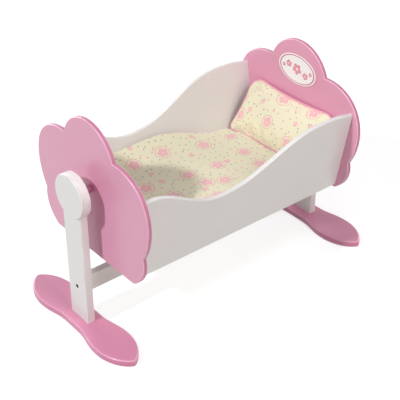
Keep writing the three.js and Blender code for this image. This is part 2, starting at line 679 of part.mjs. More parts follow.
// Where a place lies on a flat cloth with rounded corners and slightly drawn-in sides, for shares
// of the way from its middle to its end and to its side.
function clothPlace(along, across, halfLength, halfWidth, corner, drawIn) {
  const past = Math.max(0, (Math.abs(along) * halfLength - halfLength + corner) / corner);
  const side = halfWidth - corner * (1 - Math.sqrt(Math.max(0, 1 - past ** 2)));
  const x = along * (halfLength - drawIn * (1 - across ** 2));
  return [x, across * (side - drawIn * (1 - along ** 2))];
}

// Shares along a cloth's half length, from where its corner starts to round to its end.
function cornerShares(halfLength, corner) {
  const list = [];
  for (let i = 1; i <= CORNER_STEPS; i += 1) {
    const out = corner * Math.sin((i * Math.PI) / 2 / CORNER_STEPS);
    list.push((halfLength - corner + out) / halfLength);
  }
  return list;
}

// Evenly spaced values from the first to the last.
function spread(first, last, steps) {
  return Array.from({ length: steps + 1 }, (_, i) => first + ((last - first) * i) / steps);
}

// A filled cushion on a grid of columns along it and rows across it. place gives each point of
// the flat cloth, and top and bottom the heights there of its upper and its lower cloth.
function cushion(columns, place, top, bottom) {
  const half = [];
  for (let i = 1; i <= CUSHION_ROWS; i += 1) half.push(Math.sin((i * Math.PI) / 2 / CUSHION_ROWS));
  const rows = [...half.map((v) => -v).reverse(), 0, ...half];
  const positions = [];
  for (const height of [bottom, top]) {
    for (const u of columns) {
      for (const v of rows) positions.push(...place(u, v), height(u, v));
    }
  }
  const [m, n] = [columns.length, rows.length];
  const at = (i, j, level) => (level * m + i) * n + j;
  const faces = [];
  const quad = (a, b, c, d) => faces.push(a, b, c, a, c, d);
  for (let i = 0; i < m - 1; i += 1) {
    for (let j = 0; j < n - 1; j += 1) {
      quad(at(i, j, 1), at(i + 1, j, 1), at(i + 1, j + 1, 1), at(i, j + 1, 1));
      quad(at(i, j, 0), at(i, j + 1, 0), at(i + 1, j + 1, 0), at(i + 1, j, 0));
    }
    quad(at(i, 0, 0), at(i + 1, 0, 0), at(i + 1, 0, 1), at(i, 0, 1));
    quad(at(i + 1, n - 1, 0), at(i, n - 1, 0), at(i, n - 1, 1), at(i + 1, n - 1, 1));
  }
  for (let j = 0; j < n - 1; j += 1) {
    quad(at(0, j + 1, 0), at(0, j, 0), at(0, j, 1), at(0, j + 1, 1));
    quad(at(m - 1, j, 0), at(m - 1, j + 1, 0), at(m - 1, j + 1, 1), at(m - 1, j, 1));
  }
  const geometry = new THREE.BufferGeometry();
  geometry.setAttribute("position", new THREE.Float32BufferAttribute(positions, 3));
  geometry.setIndex(faces);
  geometry.computeVertexNormals();
  return geometry;
}

// How full a cushion is at a place: a steep roll at the rim, then nearly level.
function fullness(along, across) {
  return Math.sqrt((1 - along ** 8) * (1 - across ** 8));
}

function mattress() {
  const [x, y] = [BED_END, panelInside(MATTRESS_BOTTOM) - MATTRESS.sideGap];
  const { corner, edge, thickness } = MATTRESS;
  const outline = new THREE.Shape();
  outline.moveTo(x, corner - y);
  outline.absarc(x - corner, y - corner, corner, 0, Math.PI / 2);
  outline.absarc(corner - x, y - corner, corner, Math.PI / 2, Math.PI);
  outline.absarc(corner - x, corner - y, corner, Math.PI, 1.5 * Math.PI);
  outline.absarc(x - corner, corner - y, corner, 1.5 * Math.PI, 2 * Math.PI);
  return flatBoard(outline, thickness, edge, CORNER_STEPS).translate(0, 0, MATTRESS_BOTTOM);
}

// The pillow rests on the level end of the quilt and leans on the head board.
function pillow() {
  const { height, sideGap, edge, crown, corner, drawIn } = PILLOW;
  const half = height / 2;
  const width = panelInside(PILLOW_BOTTOM) - sideGap;
  const ends = cornerShares(half, corner);
  const level = (half - corner) / half;
  const columns = [...ends.map((u) => -u).reverse(), ...spread(-level, level, CUSHION_COLUMNS), ...ends];
  const swell = (u, v) => {
    return PIPING_RADIUS + fullness(u, v) * edge + crown * (1 - u ** 2) * (1 - v ** 2);
  };
  const place = (u, v) => clothPlace(u, v, half, width, corner, drawIn);
  const body = cushion(columns, place, swell, (u, v) => -swell(u, v)).rotateY(-PILLOW_LEAN);
  body.computeBoundingBox();
  const { min, max } = body.boundingBox;
  return body.translate(BED_END - max.x, 0, PILLOW_BOTTOM - min.z);
}

// The quilt is thin and level under the pillow. In front of it comes a rounded edge, and from there
// to the foot it grows full and its rim turns up along the flared panels and the foot board.
function quilt() {
  const geometry = pillow();
  geometry.computeBoundingBox();
  const start = geometry.boundingBox.min.x;
  const half = BED_END;
  const ramp = (x) => THREE.MathUtils.smoothstep(start - x, 0, QUILT_RAMP);
  const round = (x) => {
    const past = THREE.MathUtils.clamp((start + QUILT_TUCK - x) / QUILT_ROLL, 0, 1);
    return Math.sqrt(1 - (1 - past) ** 2);
  };
  const halfWidth = (x) => panelInside(QUILT_BOTTOM + QUILT.turnUp * ramp(x)) - QUILT.sideGap;
  const place = (u, v) => clothPlace(u, v, half, halfWidth(u * half), QUILT.corner, QUILT.drawIn);
  const bottom = (u, v) => QUILT.turnUp * ramp(u * half) * Math.max(Math.abs(u), Math.abs(v)) ** 5;
  const top = (u, v) => {
    const edge = (QUILT.edge - QUILT.thin) * round(u * half);
    const fill = QUILT.thin + edge + (QUILT.full - QUILT.edge) * ramp(u * half);
    return bottom(u, v) + 2 * PIPING_RADIUS + fullness(u, v) * fill;
  };
  const ends = cornerShares(half, QUILT.corner);
  const level = half - QUILT.corner;
  const rollStart = start + QUILT_TUCK - QUILT_ROLL;
  const roll = cornerShares(QUILT_ROLL, QUILT_ROLL).map((share) => rollStart + share * QUILT_ROLL);
  const columns = [
    ...ends.map((u) => -u).reverse(),
    ...spread(-level, start - QUILT_RAMP, CUSHION_COLUMNS).map((x) => x / half),
    ...spread(start - QUILT_RAMP, rollStart, RAMP_COLUMNS).slice(1).map((x) => x / half),
    ...roll.map((x) => x / half),
    ...spread(rollStart + QUILT_ROLL, level, CORNER_STEPS).slice(1).map((x) => x / half),
    ...ends,
  ];
  return cushion(columns, place, top, bottom).translate(0, 0, QUILT_BOTTOM);
}

// Assembly

// The stand's pieces at one end, and the crib's pivot pieces there.
function standEnd(end) {
  const group = new THREE.Group();
  group.add(mesh(`${end}_stand_foot`, footBoard(), PINK));
  group.add(mesh(`${end}_post`, post(), WHITE));
  group.add(mesh(`${end}_pivot_bush`, pivotBush(), NYLON));
  group.add(mesh(`${end}_pivot_washer`, headWasher(), STEEL));
  group.add(mesh(`${end}_cover_disc`, coverDisc(), WHITE));
  group.add(mesh(`${end}_stretcher_barrel_nut`, barrelNut(), STEEL));

  const bolt = mesh(`${end}_stretcher_bolt`, socketBolt(STRETCHER_BOLT), STEEL);
  bolt.position.set(POST_OUTER - STRETCHER_BOLT_SINK, 0, STRETCHER_CENTRE);
  group.add(bolt);

  const dowelEnd = POST_INNER + STRETCHER_DOWEL_IN_POST;
  const dowel = cylinderX(
    STRETCHER_DOWEL_RADIUS,
    dowelEnd - STRETCHER_DOWEL_LENGTH,
    dowelEnd,
    0,
    STRETCHER_CENTRE + STRETCHER_DOWEL_RISE,
    SMALL_SIDES,
  );
  group.add(mesh(`${end}_stretcher_dowel`, dowel, BEECH));

  for (const [side, name] of [[-1, "a"], [1, "b"]]) {
    const screw = mesh(`${end}_foot_screw_${name}`, woodScrew(FOOT_SCREW), STEEL);
    screw.position.set(POST_MIDDLE, side * FOOT_SCREW_PLACE, FOOT_SCREW.sink);
    const bottom = FOOT_THICKNESS - FOOT_DOWEL_IN_FOOT;
    const pin = cylinderZ(FOOT_DOWEL_RADIUS, bottom, bottom + FOOT_DOWEL_LENGTH, 0, 0, SMALL_SIDES);
    const footDowel = mesh(`${end}_foot_dowel_${name}`, pin, BEECH);
    footDowel.position.set(POST_MIDDLE, side * FOOT_DOWEL_PLACE, 0);
    group.add(screw, footDowel);
  }
  return group;
}

function cribEnd(end, panelHeight) {
  const group = new THREE.Group();
  group.add(mesh(`${end}_board`, endBoard(panelHeight), PINK));
  group.add(mesh(`${end}_pivot_bolt`, pivotBolt(), STEEL));
  group.add(mesh(`${end}_pivot_sleeve`, spacerSleeve(), PINK_NYLON));
  group.add(mesh(`${end}_pivot_insert`, pivotInsert(), STEEL));
  return group;
}

// A side panel with its four dowels, stood on its lower outer edge and tipped outwards.
function cribSide(name, side) {
  const group = new THREE.Group();
  const panel = mesh(`${name}_panel`, sidePanel(), WHITE);
  const place = new THREE.Group();
  place.add(panel);
  const ends = [["foot", -1, PANEL_FOOT_HEIGHT], ["head", 1, PANEL_HEAD_HEIGHT]];
  for (const [end, direction, panelHeight] of ends) {
    for (const [share, level] of [[PANEL_DOWEL_SHARES[0], "low"], [PANEL_DOWEL_SHARES[1], "high"]]) {
      const tip = HALF_INNER + PANEL_DOWEL_IN_BOARD;
      const pin = cylinderX(PANEL_DOWEL_RADIUS, tip - PANEL_DOWEL_LENGTH, tip, 0, 0, SMALL_SIDES);
      if (direction < 0) pin.rotateZ(Math.PI);
      const dowel = mesh(`${name}_${end}_${level}_dowel`, pin, BEECH);
      dowel.position.set(0, share * panelHeight, BOARD / 2);
      place.add(dowel);
    }
  }
  if (side < 0) place.children.forEach((child) => (child.position.z -= BOARD));
  place.rotation.x = Math.PI / 2 - side * FLARE;
  place.position.set(0, side * PANEL_BOTTOM_HALF, PANEL_BOTTOM);
  group.add(place);

  const ledge = mesh(`${name}_cleat`, cleat(), BEECH);
  if (side < 0) ledge.rotation.z = Math.PI;
  group.add(ledge);
  ["foot", "middle", "head"].forEach((label, i) => {
    const screw = mesh(`${name}_${label}_base_screw`, woodScrew(BASE_SCREW), STEEL);
    screw.rotation.x = Math.PI;
    screw.position.set(...baseScrewPlace(BASE_SCREW_SHARES[i], side));
    group.add(screw);
  });
  return group;
}

const cradle = new THREE.Group();
const footEndStand = standEnd("foot_end");
const footEndCrib = cribEnd("foot_end", PANEL_FOOT_HEIGHT);
footEndStand.rotation.z = Math.PI;
footEndCrib.rotation.z = Math.PI;
cradle.add(footEndStand, standEnd("head_end"), mesh("stretcher", stretcher(), WHITE));
cradle.add(footEndCrib, cribEnd("head_end", PANEL_HEAD_HEIGHT));
cradle.add(cribSide("front", -1), cribSide("back", 1));
cradle.add(mesh("base_board", baseBoard(), PLYWOOD), mesh("oval_plate", ovalPlate(), PRINT));
cradle.add(mesh("mattress", mattress(), COTTON));
cradle.add(mesh("quilt", quilt(), COTTON), mesh("pillow", pillow(), COTTON));

export default cradle;
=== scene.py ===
"""The looks of a doll's swinging cradle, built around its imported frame.

Metres, +Z up. X runs from the foot end (-X) to the head end (+X).
"""

import math

import bmesh
import bpy
import numpy as np
from mathutils import Matrix, Vector


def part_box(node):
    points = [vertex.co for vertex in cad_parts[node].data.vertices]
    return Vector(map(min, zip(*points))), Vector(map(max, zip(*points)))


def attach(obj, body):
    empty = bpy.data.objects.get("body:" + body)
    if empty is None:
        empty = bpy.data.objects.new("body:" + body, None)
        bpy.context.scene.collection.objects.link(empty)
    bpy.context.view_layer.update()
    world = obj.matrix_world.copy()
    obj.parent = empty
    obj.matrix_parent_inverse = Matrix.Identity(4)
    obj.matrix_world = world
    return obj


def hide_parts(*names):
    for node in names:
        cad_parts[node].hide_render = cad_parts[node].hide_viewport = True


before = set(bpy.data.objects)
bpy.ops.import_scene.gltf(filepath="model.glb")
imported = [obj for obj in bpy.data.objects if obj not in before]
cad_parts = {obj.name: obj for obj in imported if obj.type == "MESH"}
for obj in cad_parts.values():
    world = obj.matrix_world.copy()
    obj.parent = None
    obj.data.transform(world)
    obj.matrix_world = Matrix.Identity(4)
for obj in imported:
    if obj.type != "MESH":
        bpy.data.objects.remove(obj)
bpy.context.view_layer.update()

# Sizes shared with the solids
SEAT_GAP = 0.0003
HALF_OUTER, HALF_INNER, BOARD = 0.260, 0.251, 0.009
CRIB_BOTTOM, END_HALF, END_HEIGHT = 0.148, 0.175, 0.284
INSERT_FLANGE, INSERT_FLANGE_THICKNESS = 0.010, 0.0014
INSERT_BARREL, INSERT_DEPTH = 0.0056, 0.007
PANEL_BOTTOM, PANEL_BOTTOM_HALF, FLARE = 0.1565, 0.127, math.radians(10.1)
PANEL_FOOT_HEIGHT, PANEL_VALLEY_HEIGHT = 0.183, 0.117
PANEL_CREST_HEIGHT, PANEL_HEAD_HEIGHT = 0.186, 0.177
POST_INNER, POST_THICKNESS, POST_WIDTH = 0.286, 0.017, 0.056
POST_OUTER = POST_INNER + POST_THICKNESS
POST_MIDDLE = (POST_INNER + POST_OUTER) / 2
PIVOT_HEIGHT, POST_HEAD_RADIUS = 0.292, 0.044
BUSH_RADIUS, COUNTERBORE_RADIUS, COUNTERBORE_DEPTH = 0.007, 0.012, 0.008
BOLT_HEIGHT, BOLT_SHANK, BOLT_HEAD, BOLT_HEAD_DEPTH = 0.0905, 0.0025, 0.0038, 0.007
DISC_THICKNESS, DISC_EDGE, COLLAR_WALL, COLLAR_DEPTH = 0.0032, 0.0026, 0.0024, 0.0016
FOOT_THICKNESS, FOOT_HALF_LENGTH, FOOT_HALF_WIDTH = 0.015, 0.168, 0.0385
FOOT_HALF_WAIST, FOOT_STRAIGHT = 0.0283, 0.020
FOOT_WIDEST = 0.565 * FOOT_HALF_LENGTH
FOOT_SCREW_HEAD, FOOT_SCREW_SHANK, FOOT_SCREW_SINK = 0.0045, 0.00225, 0.001
FOOT_SCREW_PLACE = 0.009
PLATE_HALF_WIDTH, PLATE_HALF_HEIGHT, PLATE_EDGE, PLATE_RISE = 0.053, 0.032, 0.0003, 0.369
MATTRESS_BOTTOM, MATTRESS_TOP = 0.1763, 0.1993
MATTRESS_CORNER, MATTRESS_EDGE = 0.014, 0.006
BED_END = 0.2495
PIPING_RADIUS = 0.002
PILLOW_LENGTH, PILLOW_LEAN, PILLOW_SIDE_GAP = 0.125, math.radians(55), 0.0025
QUILT_BOTTOM, QUILT_TURN_UP, QUILT_RAMP = 0.1996, 0.046, 0.200
QUILT_CORNER, QUILT_DRAW_IN, QUILT_SIDE_GAP, QUILT_THIN = 0.024, 0.0015, 0.0009, 0.002

# Sizes of the finer surfaces
EDGE_ROUND, FOOT_ROUND = 0.0025, 0.0042
PANEL_OVERLENGTH = 0.006
OVERRUN = 0.002
SHARP_ANGLE, PAD_SHARP_ANGLE = 35, 60
PILLOW_CORNER, PILLOW_FOOT_CORNER, PILLOW_DRAW_IN = 0.030, 0.014, 0.005
PILLOW_PIPING = 0.0027
PILLOW_SEAM, PILLOW_FILL, PILLOW_CROWN = 0.0012, 0.0075, 0.0068
QUILT_FOLD_RISE, QUILT_RAMP_RISE = 0.019, 0.005
QUILT_SEAM_INSET, QUILT_SEAM_MARGIN = 0.0016, 0.001
FOLD_LENGTH, FOLD_TUCK, FOLD_STEP, FOLD_PINNED = 0.012, 0.003, 0.0012, 0.010
HALF_TURN = Matrix.Rotation(math.pi, 4, "Z")


# Points of outlines


def bezier(a, b, c, d, steps):
    t = np.linspace(0, 1, steps + 1)[:, None]
    a, b, c, d = (np.array(p, float) for p in (a, b, c, d))
    return (1 - t) ** 3 * a + 3 * (1 - t) ** 2 * t * b + 3 * (1 - t) * t**2 * c + t**3 * d


def arc_through(a, b, c, steps):
    """Points of the circular arc from a through b to c."""
    z = [complex(*p) for p in (a, b, c)]
    w = (z[2] - z[0]) / (z[1] - z[0])
    centre = (z[1] - z[0]) * (w - abs(w) ** 2) / (2j * w.imag) + z[0]
    start = np.angle(z[0] - centre)
    sign = 1 if w.imag > 0 else -1
    sweep = (sign * (np.angle(z[2] - centre) - start)) % (2 * math.pi)
    angle = start + sign * sweep * np.linspace(0, 1, steps + 1)
    radius = abs(z[0] - centre)
    return np.c_[centre.real + radius * np.cos(angle), centre.imag + radius * np.sin(angle)]


def closed(*lists):
    """One loop of points, counterclockwise, without repeats."""
    points = np.concatenate([np.asarray(part, float) for part in lists])
    step = np.linalg.norm(points - np.roll(points, 1, 0), axis=1)
    points = points[step > 1e-6]
    x, y = points.T
    area = np.sum(x * np.roll(y, -1) - y * np.roll(x, -1))
    return points if area > 0 else points[::-1]


def mirrored(points, x, y):
    """The points times x and y, each 1 or -1, in the opposite order."""
    return (np.asarray(points) * (x, y))[::-1]


def inset(points, distance):
    """The loop moved inwards by a distance, with mitred corners."""
    before = points - np.roll(points, 1, 0)
    after = np.roll(points, -1, 0) - points
    n1 = np.c_[-before[:, 1], before[:, 0]] / np.linalg.norm(before, axis=1)[:, None]
    n2 = np.c_[-after[:, 1], after[:, 0]] / np.linalg.norm(after, axis=1)[:, None]
    dot = np.clip(np.sum(n1 * n2, axis=1), -0.6, 1)
    return points + distance * (n1 + n2) / (1 + dot)[:, None]


def end_outline():
    """The flower outline of an end board, in shares of its half width and its height."""

    def at(across, up):
        return (across * END_HALF, up * END_HEIGHT)

    notch = at(0.434, 0.81)
    top = arc_through(notch, (0, END_HEIGHT), (-notch[0], notch[1]), 72)
    side = bezier(at(0.891, 0.25), at(1.134, 0.509), at(0.971, 0.824), notch, 60)
    low = arc_through(at(0.78, 0.036), at(0.871, 0.107), at(0.891, 0.25), 20)
    corner = bezier(at(0.64, 0), at(0.72, 0), at(0.72, 0), at(0.78, 0.036), 10)
    right = np.concatenate([corner, low, side])
    return closed(right, top, mirrored(right, -1, 1))


def panel_outline(past):
    """A side panel with its wavy top edge, run on level to past each end."""
    half = HALF_INNER - SEAT_GAP

    def wave(start, end, steps, last_height=None):
        handle = 0.42 * (end[0] - start[0])
        last = (end[0] - handle, last_height or end[1])
        return bezier(start, (start[0] + handle, start[1]), last, end, steps)

    valley = (-0.27 * half, PANEL_VALLEY_HEIGHT)
    crest = (0.67 * half, PANEL_CREST_HEIGHT)
    return closed(
        [(past, 0), (-past, 0), (-past, PANEL_FOOT_HEIGHT)],
        wave((-half, PANEL_FOOT_HEIGHT), valley, 50),
        wave(valley, crest, 60),
        wave(crest, (half, PANEL_HEAD_HEIGHT), 20, last_height=PANEL_CREST_HEIGHT),
        [(past, PANEL_HEAD_HEIGHT)],
    )


def post_outline(bottom):
    spread = math.asin(POST_WIDTH / 2 / POST_HEAD_RADIUS)
    angle = np.linspace(spread - math.pi / 2, 1.5 * math.pi - spread, 97)
    head = np.c_[POST_HEAD_RADIUS * np.cos(angle), PIVOT_HEIGHT + POST_HEAD_RADIUS * np.sin(angle)]
    return closed([(-POST_WIDTH / 2, bottom), (POST_WIDTH / 2, bottom)], head)


def foot_outline():
    """A foot from above: straight at its waist, widest on the way out, and pointed."""
    swell = FOOT_WIDEST - FOOT_STRAIGHT
    flank = bezier(
        (FOOT_HALF_WAIST, FOOT_STRAIGHT),
        (FOOT_HALF_WAIST, FOOT_STRAIGHT + 0.4 * swell),
        (FOOT_HALF_WIDTH, FOOT_WIDEST - 0.44 * swell),
        (FOOT_HALF_WIDTH, FOOT_WIDEST),
        24,
    )
    reach = FOOT_HALF_LENGTH - FOOT_WIDEST
    tip = bezier(
        (FOOT_HALF_WIDTH, FOOT_WIDEST),
        (FOOT_HALF_WIDTH, FOOT_WIDEST + 0.55 * reach),
        (0.42 * FOOT_HALF_WIDTH, FOOT_WIDEST + 0.92 * reach),
        (0, FOOT_HALF_LENGTH),
        24,
    )
    quarter = np.concatenate([flank, tip])
    return closed(quarter, mirrored(quarter, -1, 1), -quarter, mirrored(quarter, 1, -1))


# Meshes


def new_object(name, shape):
    if isinstance(shape, bmesh.types.BMesh):
        mesh = bpy.data.meshes.new(name)
        shape.to_mesh(mesh)
        shape.free()
    else:
        mesh = shape
    made = bpy.data.objects.new(name, mesh)
    bpy.context.scene.collection.objects.link(made)
    return made


def loops_mesh(rings):
    """A closed bmesh that joins rings, each a loop with the same count of points."""
    bm = bmesh.new()
    rows = [[bm.verts.new(p) for p in ring] for ring in rings]
    count = len(rows[0])
    for low, high in zip(rows, rows[1:]):
        for i in range(count):
            j = (i + 1) % count
            bm.faces.new((low[i], low[j], high[j], high[i]))
    bm.faces.new(rows[0][::-1])
    bm.faces.new(rows[-1])
    return bm


def board(outline, thickness, radius, steps=5, cuts=()):
    """A flat board from z = 0 to its thickness, with its edges rounded over. cuts are planes
    (point, normal) beyond which it is squared off."""
    quarter = np.linspace(0, math.pi / 2, steps + 1)
    rings = []
    for angle in quarter:
        loop = inset(outline, radius * (1 - math.sin(angle)))
        rings.append([(x, y, radius * (1 - math.cos(angle))) for x, y in loop])
    for angle in quarter[::-1]:
        loop = inset(outline, radius * (1 - math.sin(angle)))
        rings.append([(x, y, thickness - radius * (1 - math.cos(angle))) for x, y in loop])
    bm = loops_mesh(rings)
    for point, normal in cuts:
        geometry = bm.verts[:] + bm.edges[:] + bm.faces[:]
        made = bmesh.ops.bisect_plane(
            bm, geom=geometry, plane_co=point, plane_no=normal, clear_outer=True
        )
        edges = [e for e in made["geom_cut"] if isinstance(e, bmesh.types.BMEdge)]
        bmesh.ops.holes_fill(bm, edges=edges)
    bmesh.ops.recalc_face_normals(bm, faces=bm.faces)
    return bm


def revolve(profile, sides=96):
    """A bmesh turned about X from (radius, x) points; a zero radius closes it."""
    bm = bmesh.new()
    rows = []
    for radius, x in profile:
        if radius == 0:
            rows.append([bm.verts.new((x, 0, 0))])
            continue
        turn = [2 * math.pi * i / sides for i in range(sides)]
        rows.append([bm.verts.new((x, radius * math.cos(t), radius * math.sin(t))) for t in turn])
    for low, high in zip(rows, rows[1:]):
        for i in range(sides):
            j = (i + 1) % sides
            corners = [row[k % len(row)] for row, k in ((low, i), (low, j), (high, j), (high, i))]
            bm.faces.new(list(dict.fromkeys(corners)))
    bmesh.ops.recalc_face_normals(bm, faces=bm.faces)
    return bm


def cylinder_x(radius, start, end, height):
    """A cylinder along X in the middle of the cradle, as a bmesh."""
    bm = revolve([(0, start), (radius, start), (radius, end), (0, end)], 48)
    bmesh.ops.translate(bm, verts=bm.verts, vec=(0, 0, height))
    return bm


def subtract(target, end, cutters):
    """Cuts bmeshes, made for the head end, out of a target at either end."""
    for bm in cutters:
        bm.transform(at_end(end))
        cutter = new_object("cutter", bm)
        modifier = target.modifiers.new("cut", "BOOLEAN")
        modifier.operation, modifier.solver, modifier.object = "DIFFERENCE", "EXACT", cutter
        bpy.context.view_layer.objects.active = target
        bpy.ops.object.modifier_apply(modifier=modifier.name)
        bpy.data.objects.remove(cutter)


def shade(target, angle=SHARP_ANGLE):
    """Smooth, with sharp edges past the angle and flats that stay flat."""
    target.data.shade_smooth()
    target.data.set_sharp_from_angle(angle=math.radians(angle))
    weighted = target.modifiers.new("weighted", "WEIGHTED_NORMAL")
    weighted.keep_sharp, weighted.weight = True, 100


def finish_piece(piece, material, slot, body, *nodes):
    piece.data.materials.clear()
    piece.data.materials.append(material)
    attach(piece, body)
    if nodes:
        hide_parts(*nodes)


# Materials


def srgb(r, g, b):
    def linear(v):
        v /= 255
        return v / 12.92 if v <= 0.04045 else ((v + 0.055) / 1.055) ** 2.4

    return (linear(r), linear(g), linear(b), 1)


def darker(colour, share):
    return tuple(c * share for c in colour[:3]) + (1,)


class Net:
    """A material's node tree with short calls for what the materials here need."""

    def __init__(self, name):
        self.material = bpy.data.materials.new(name)
        self.material.use_nodes = True
        self.tree = self.material.node_tree
        self.shader = self.tree.nodes["Principled BSDF"]

    def add(self, kind, **settings):
        node = self.tree.nodes.new(kind)
        for key, value in settings.items():
            setattr(node, key, value)
        return node

    def put(self, socket, value):
        if isinstance(value, bpy.types.NodeSocket):
            self.tree.links.new(value, socket)
        else:
            socket.default_value = value

    def set(self, **values):
        """Sets the shader's inputs, named with _ for a space."""
        for key, value in values.items():
            self.put(self.shader.inputs[key.replace("_", " ")], value)

    def fill(self, node, *values):
        """Puts the values in the node's first inputs and gives its outputs."""
        for socket, value in zip(node.inputs, values):
            self.put(socket, value)
        return node.outputs

    def math(self, operation, *values):
        return self.fill(self.add("ShaderNodeMath", operation=operation), *values)[0]

    def times(self, a, b):
        return self.math("MULTIPLY", a, b)

    def vector(self, operation, *values, out=0):
        return self.fill(self.add("ShaderNodeVectorMath", operation=operation), *values)[out]

    def length(self, vector):
        return self.vector("LENGTH", vector, out=1)

    def scaled(self, vector, factor):
        node = self.add("ShaderNodeVectorMath", operation="SCALE")
        node.inputs["Scale"].default_value = factor
        return self.fill(node, vector)[0]

    def split(self, vector):
        return self.fill(self.add("ShaderNodeSeparateXYZ"), vector)

    def place(self, kind="Object"):
        return self.add("ShaderNodeTexCoord").outputs[kind]

    def uv(self, name):
        return self.add("ShaderNodeUVMap", uv_map=name).outputs[0]

    def noise(self, vector, scale, detail=3.0, roughness=0.5):
        node = self.add("ShaderNodeTexNoise")
        self.put(node.inputs["Vector"], vector)
        node.inputs["Scale"].default_value = scale
        node.inputs["Detail"].default_value = detail
        node.inputs["Roughness"].default_value = roughness
        return node.outputs["Fac"]

    def remap(self, value, low, high, to_low, to_high, smooth=False):
        node = self.add("ShaderNodeMapRange")
        node.interpolation_type = "SMOOTHSTEP" if smooth else "LINEAR"
        return self.fill(node, value, low, high, to_low, to_high)[0]

    def mix(self, factor, a, b):
        node = self.add("ShaderNodeMix", data_type="RGBA")
        self.put(node.inputs["Factor"], factor)
        self.put(node.inputs[6], a)
        self.put(node.inputs[7], b)
        return node.outputs[2]

    def bump(self, height, strength, distance, normal=None):
        node = self.add("ShaderNodeBump")
        self.put(node.inputs["Height"], height)
        node.inputs["Strength"].default_value = strength
        node.inputs["Distance"].default_value = distance
        if normal is not None:
            self.put(node.inputs["Normal"], normal)
        return node.outputs[0]


def paint(name, face, edge=None, axis=None, edge_highlight=None):
    """Satin paint with slow shade changes and a faint orange peel. axis says which way the faces
    of a board look: its edges then take the edge colour and a duller coat, and where the faces
    round over into them a lighter band may be laid on. On the pink boards and feet the edge colour
    is darker, which is painted shade on the edges, and the lighter band is a painted highlight."""
    net = Net(name)
    place = net.place()
    colour = net.mix(net.noise(place, 9, 2), darker(face, 0.965), face)
    rough = net.remap(net.noise(place, 60, 3), 0.3, 0.7, 0.3, 0.4)
    if axis is not None:
        facing = net.math("ABSOLUTE", net.split(net.place("Normal"))[axis])
        on_edge = net.remap(facing, 0.2, 0.6, 1, 0, smooth=True)
        # The edge colour: on the pink boards and feet a darker pink, which is painted shade on the
        # edges.
        colour = net.mix(net.times(on_edge, 0.65), colour, edge)
        rough = net.math("ADD", rough, net.times(on_edge, 0.08))
    if edge_highlight is not None:
        # A painted highlight: a lighter, patchy band where the faces round over into the edges.
        highlight_band = net.times(
            net.remap(facing, 0.4, 0.65, 0, 1, smooth=True),
            net.remap(facing, 0.9, 0.985, 1, 0, smooth=True),
        )
        uneven = net.remap(net.noise(place, 35, 3), 0.35, 0.65, 0.35, 0.75)
        colour = net.mix(net.times(highlight_band, uneven), colour, edge_highlight)
    peel = net.bump(net.noise(place, 420, 2), 0.09, 0.0004)
    net.set(
        Base_Color=colour,
        Roughness=rough,
        Normal=net.bump(net.noise(place, 1800, 2, 0.6), 0.06, 0.0001, peel),
        Coat_Weight=0.22,
        Coat_Roughness=0.14,
    )
    return net.material


def metal(name, colour, low, high):
    """Metal drawn along X, with a roughness between low and high."""
    net = Net(name)
    place = net.place()
    streak = net.noise(net.vector("MULTIPLY", place, (40, 900, 900)), 1, 2)
    net.set(
        Base_Color=net.mix(net.noise(place, 160, 3), darker(colour, 0.86), colour),
        Metallic=1.0,
        Roughness=net.remap(streak, 0.3, 0.7, low, high),
        Normal=net.bump(streak, 0.12, 0.0001),
    )
    return net.material


def wood(name, light, dark):
    """Wood with its grain and pores along X."""
    net = Net(name)
    grain = net.noise(net.vector("MULTIPLY", net.place(), (18, 160, 160)), 1, 5, 0.6)
    pores = net.noise(net.vector("MULTIPLY", net.place(), (120, 1800, 1800)), 1, 2)
    colour = net.mix(net.remap(grain, 0.35, 0.68, 0, 1), light, dark)
    net.set(
        Base_Color=net.mix(net.remap(pores, 0.6, 0.75, 0, 0.5), colour, dark),
        Roughness=net.remap(grain, 0.3, 0.7, 0.5, 0.65),
        Normal=net.bump(pores, 0.2, 0.0002),
    )
    return net.material


def plastic(name, colour):
    net = Net(name)
    place = net.place()
    net.set(
        Base_Color=net.mix(net.noise(place, 40, 2), darker(colour, 0.95), colour),
        Roughness=net.remap(net.noise(place, 300, 2), 0.3, 0.7, 0.38, 0.5),
        Normal=net.bump(net.noise(place, 900, 2), 0.06, 0.0001),
    )
    return net.material


def weave(net, vector, pitch, strength):
    """A plain weave: threads over and under each other at a pitch."""
    x, y, _ = net.split(net.scaled(vector, math.pi / pitch))
    threads = net.times(net.math("SINE", x), net.math("SINE", y))
    slubs = net.noise(vector, 700, 3, 0.6)
    return net.bump(slubs, 0.25, 0.0003, net.bump(threads, strength, 0.00015))


def plain_cotton(name, colour, pitch=0.0007):
    net = Net(name)
    place = net.place()
    net.set(
        Base_Color=net.mix(net.noise(place, 22, 3), darker(colour, 0.93), colour),
        Roughness=net.remap(net.noise(place, 500, 2), 0.3, 0.7, 0.82, 0.94),
        Normal=weave(net, place, pitch, 0.4),
        Sheen_Weight=0.2,
        Sheen_Roughness=0.5,
    )
    return net.material


def inside(net, value, limit, soft=0.0005):
    """1 where the value is below the limit."""
    return net.remap(net.math("SUBTRACT", value, limit), -soft, soft, 1, 0)


def band(net, value, middle, half_width, soft=0.0004):
    """1 where the value is within half a width of the middle."""
    away = net.math("ABSOLUTE", net.math("SUBTRACT", value, middle))
    return net.remap(net.math("SUBTRACT", away, half_width), -soft, soft, 1, 0)


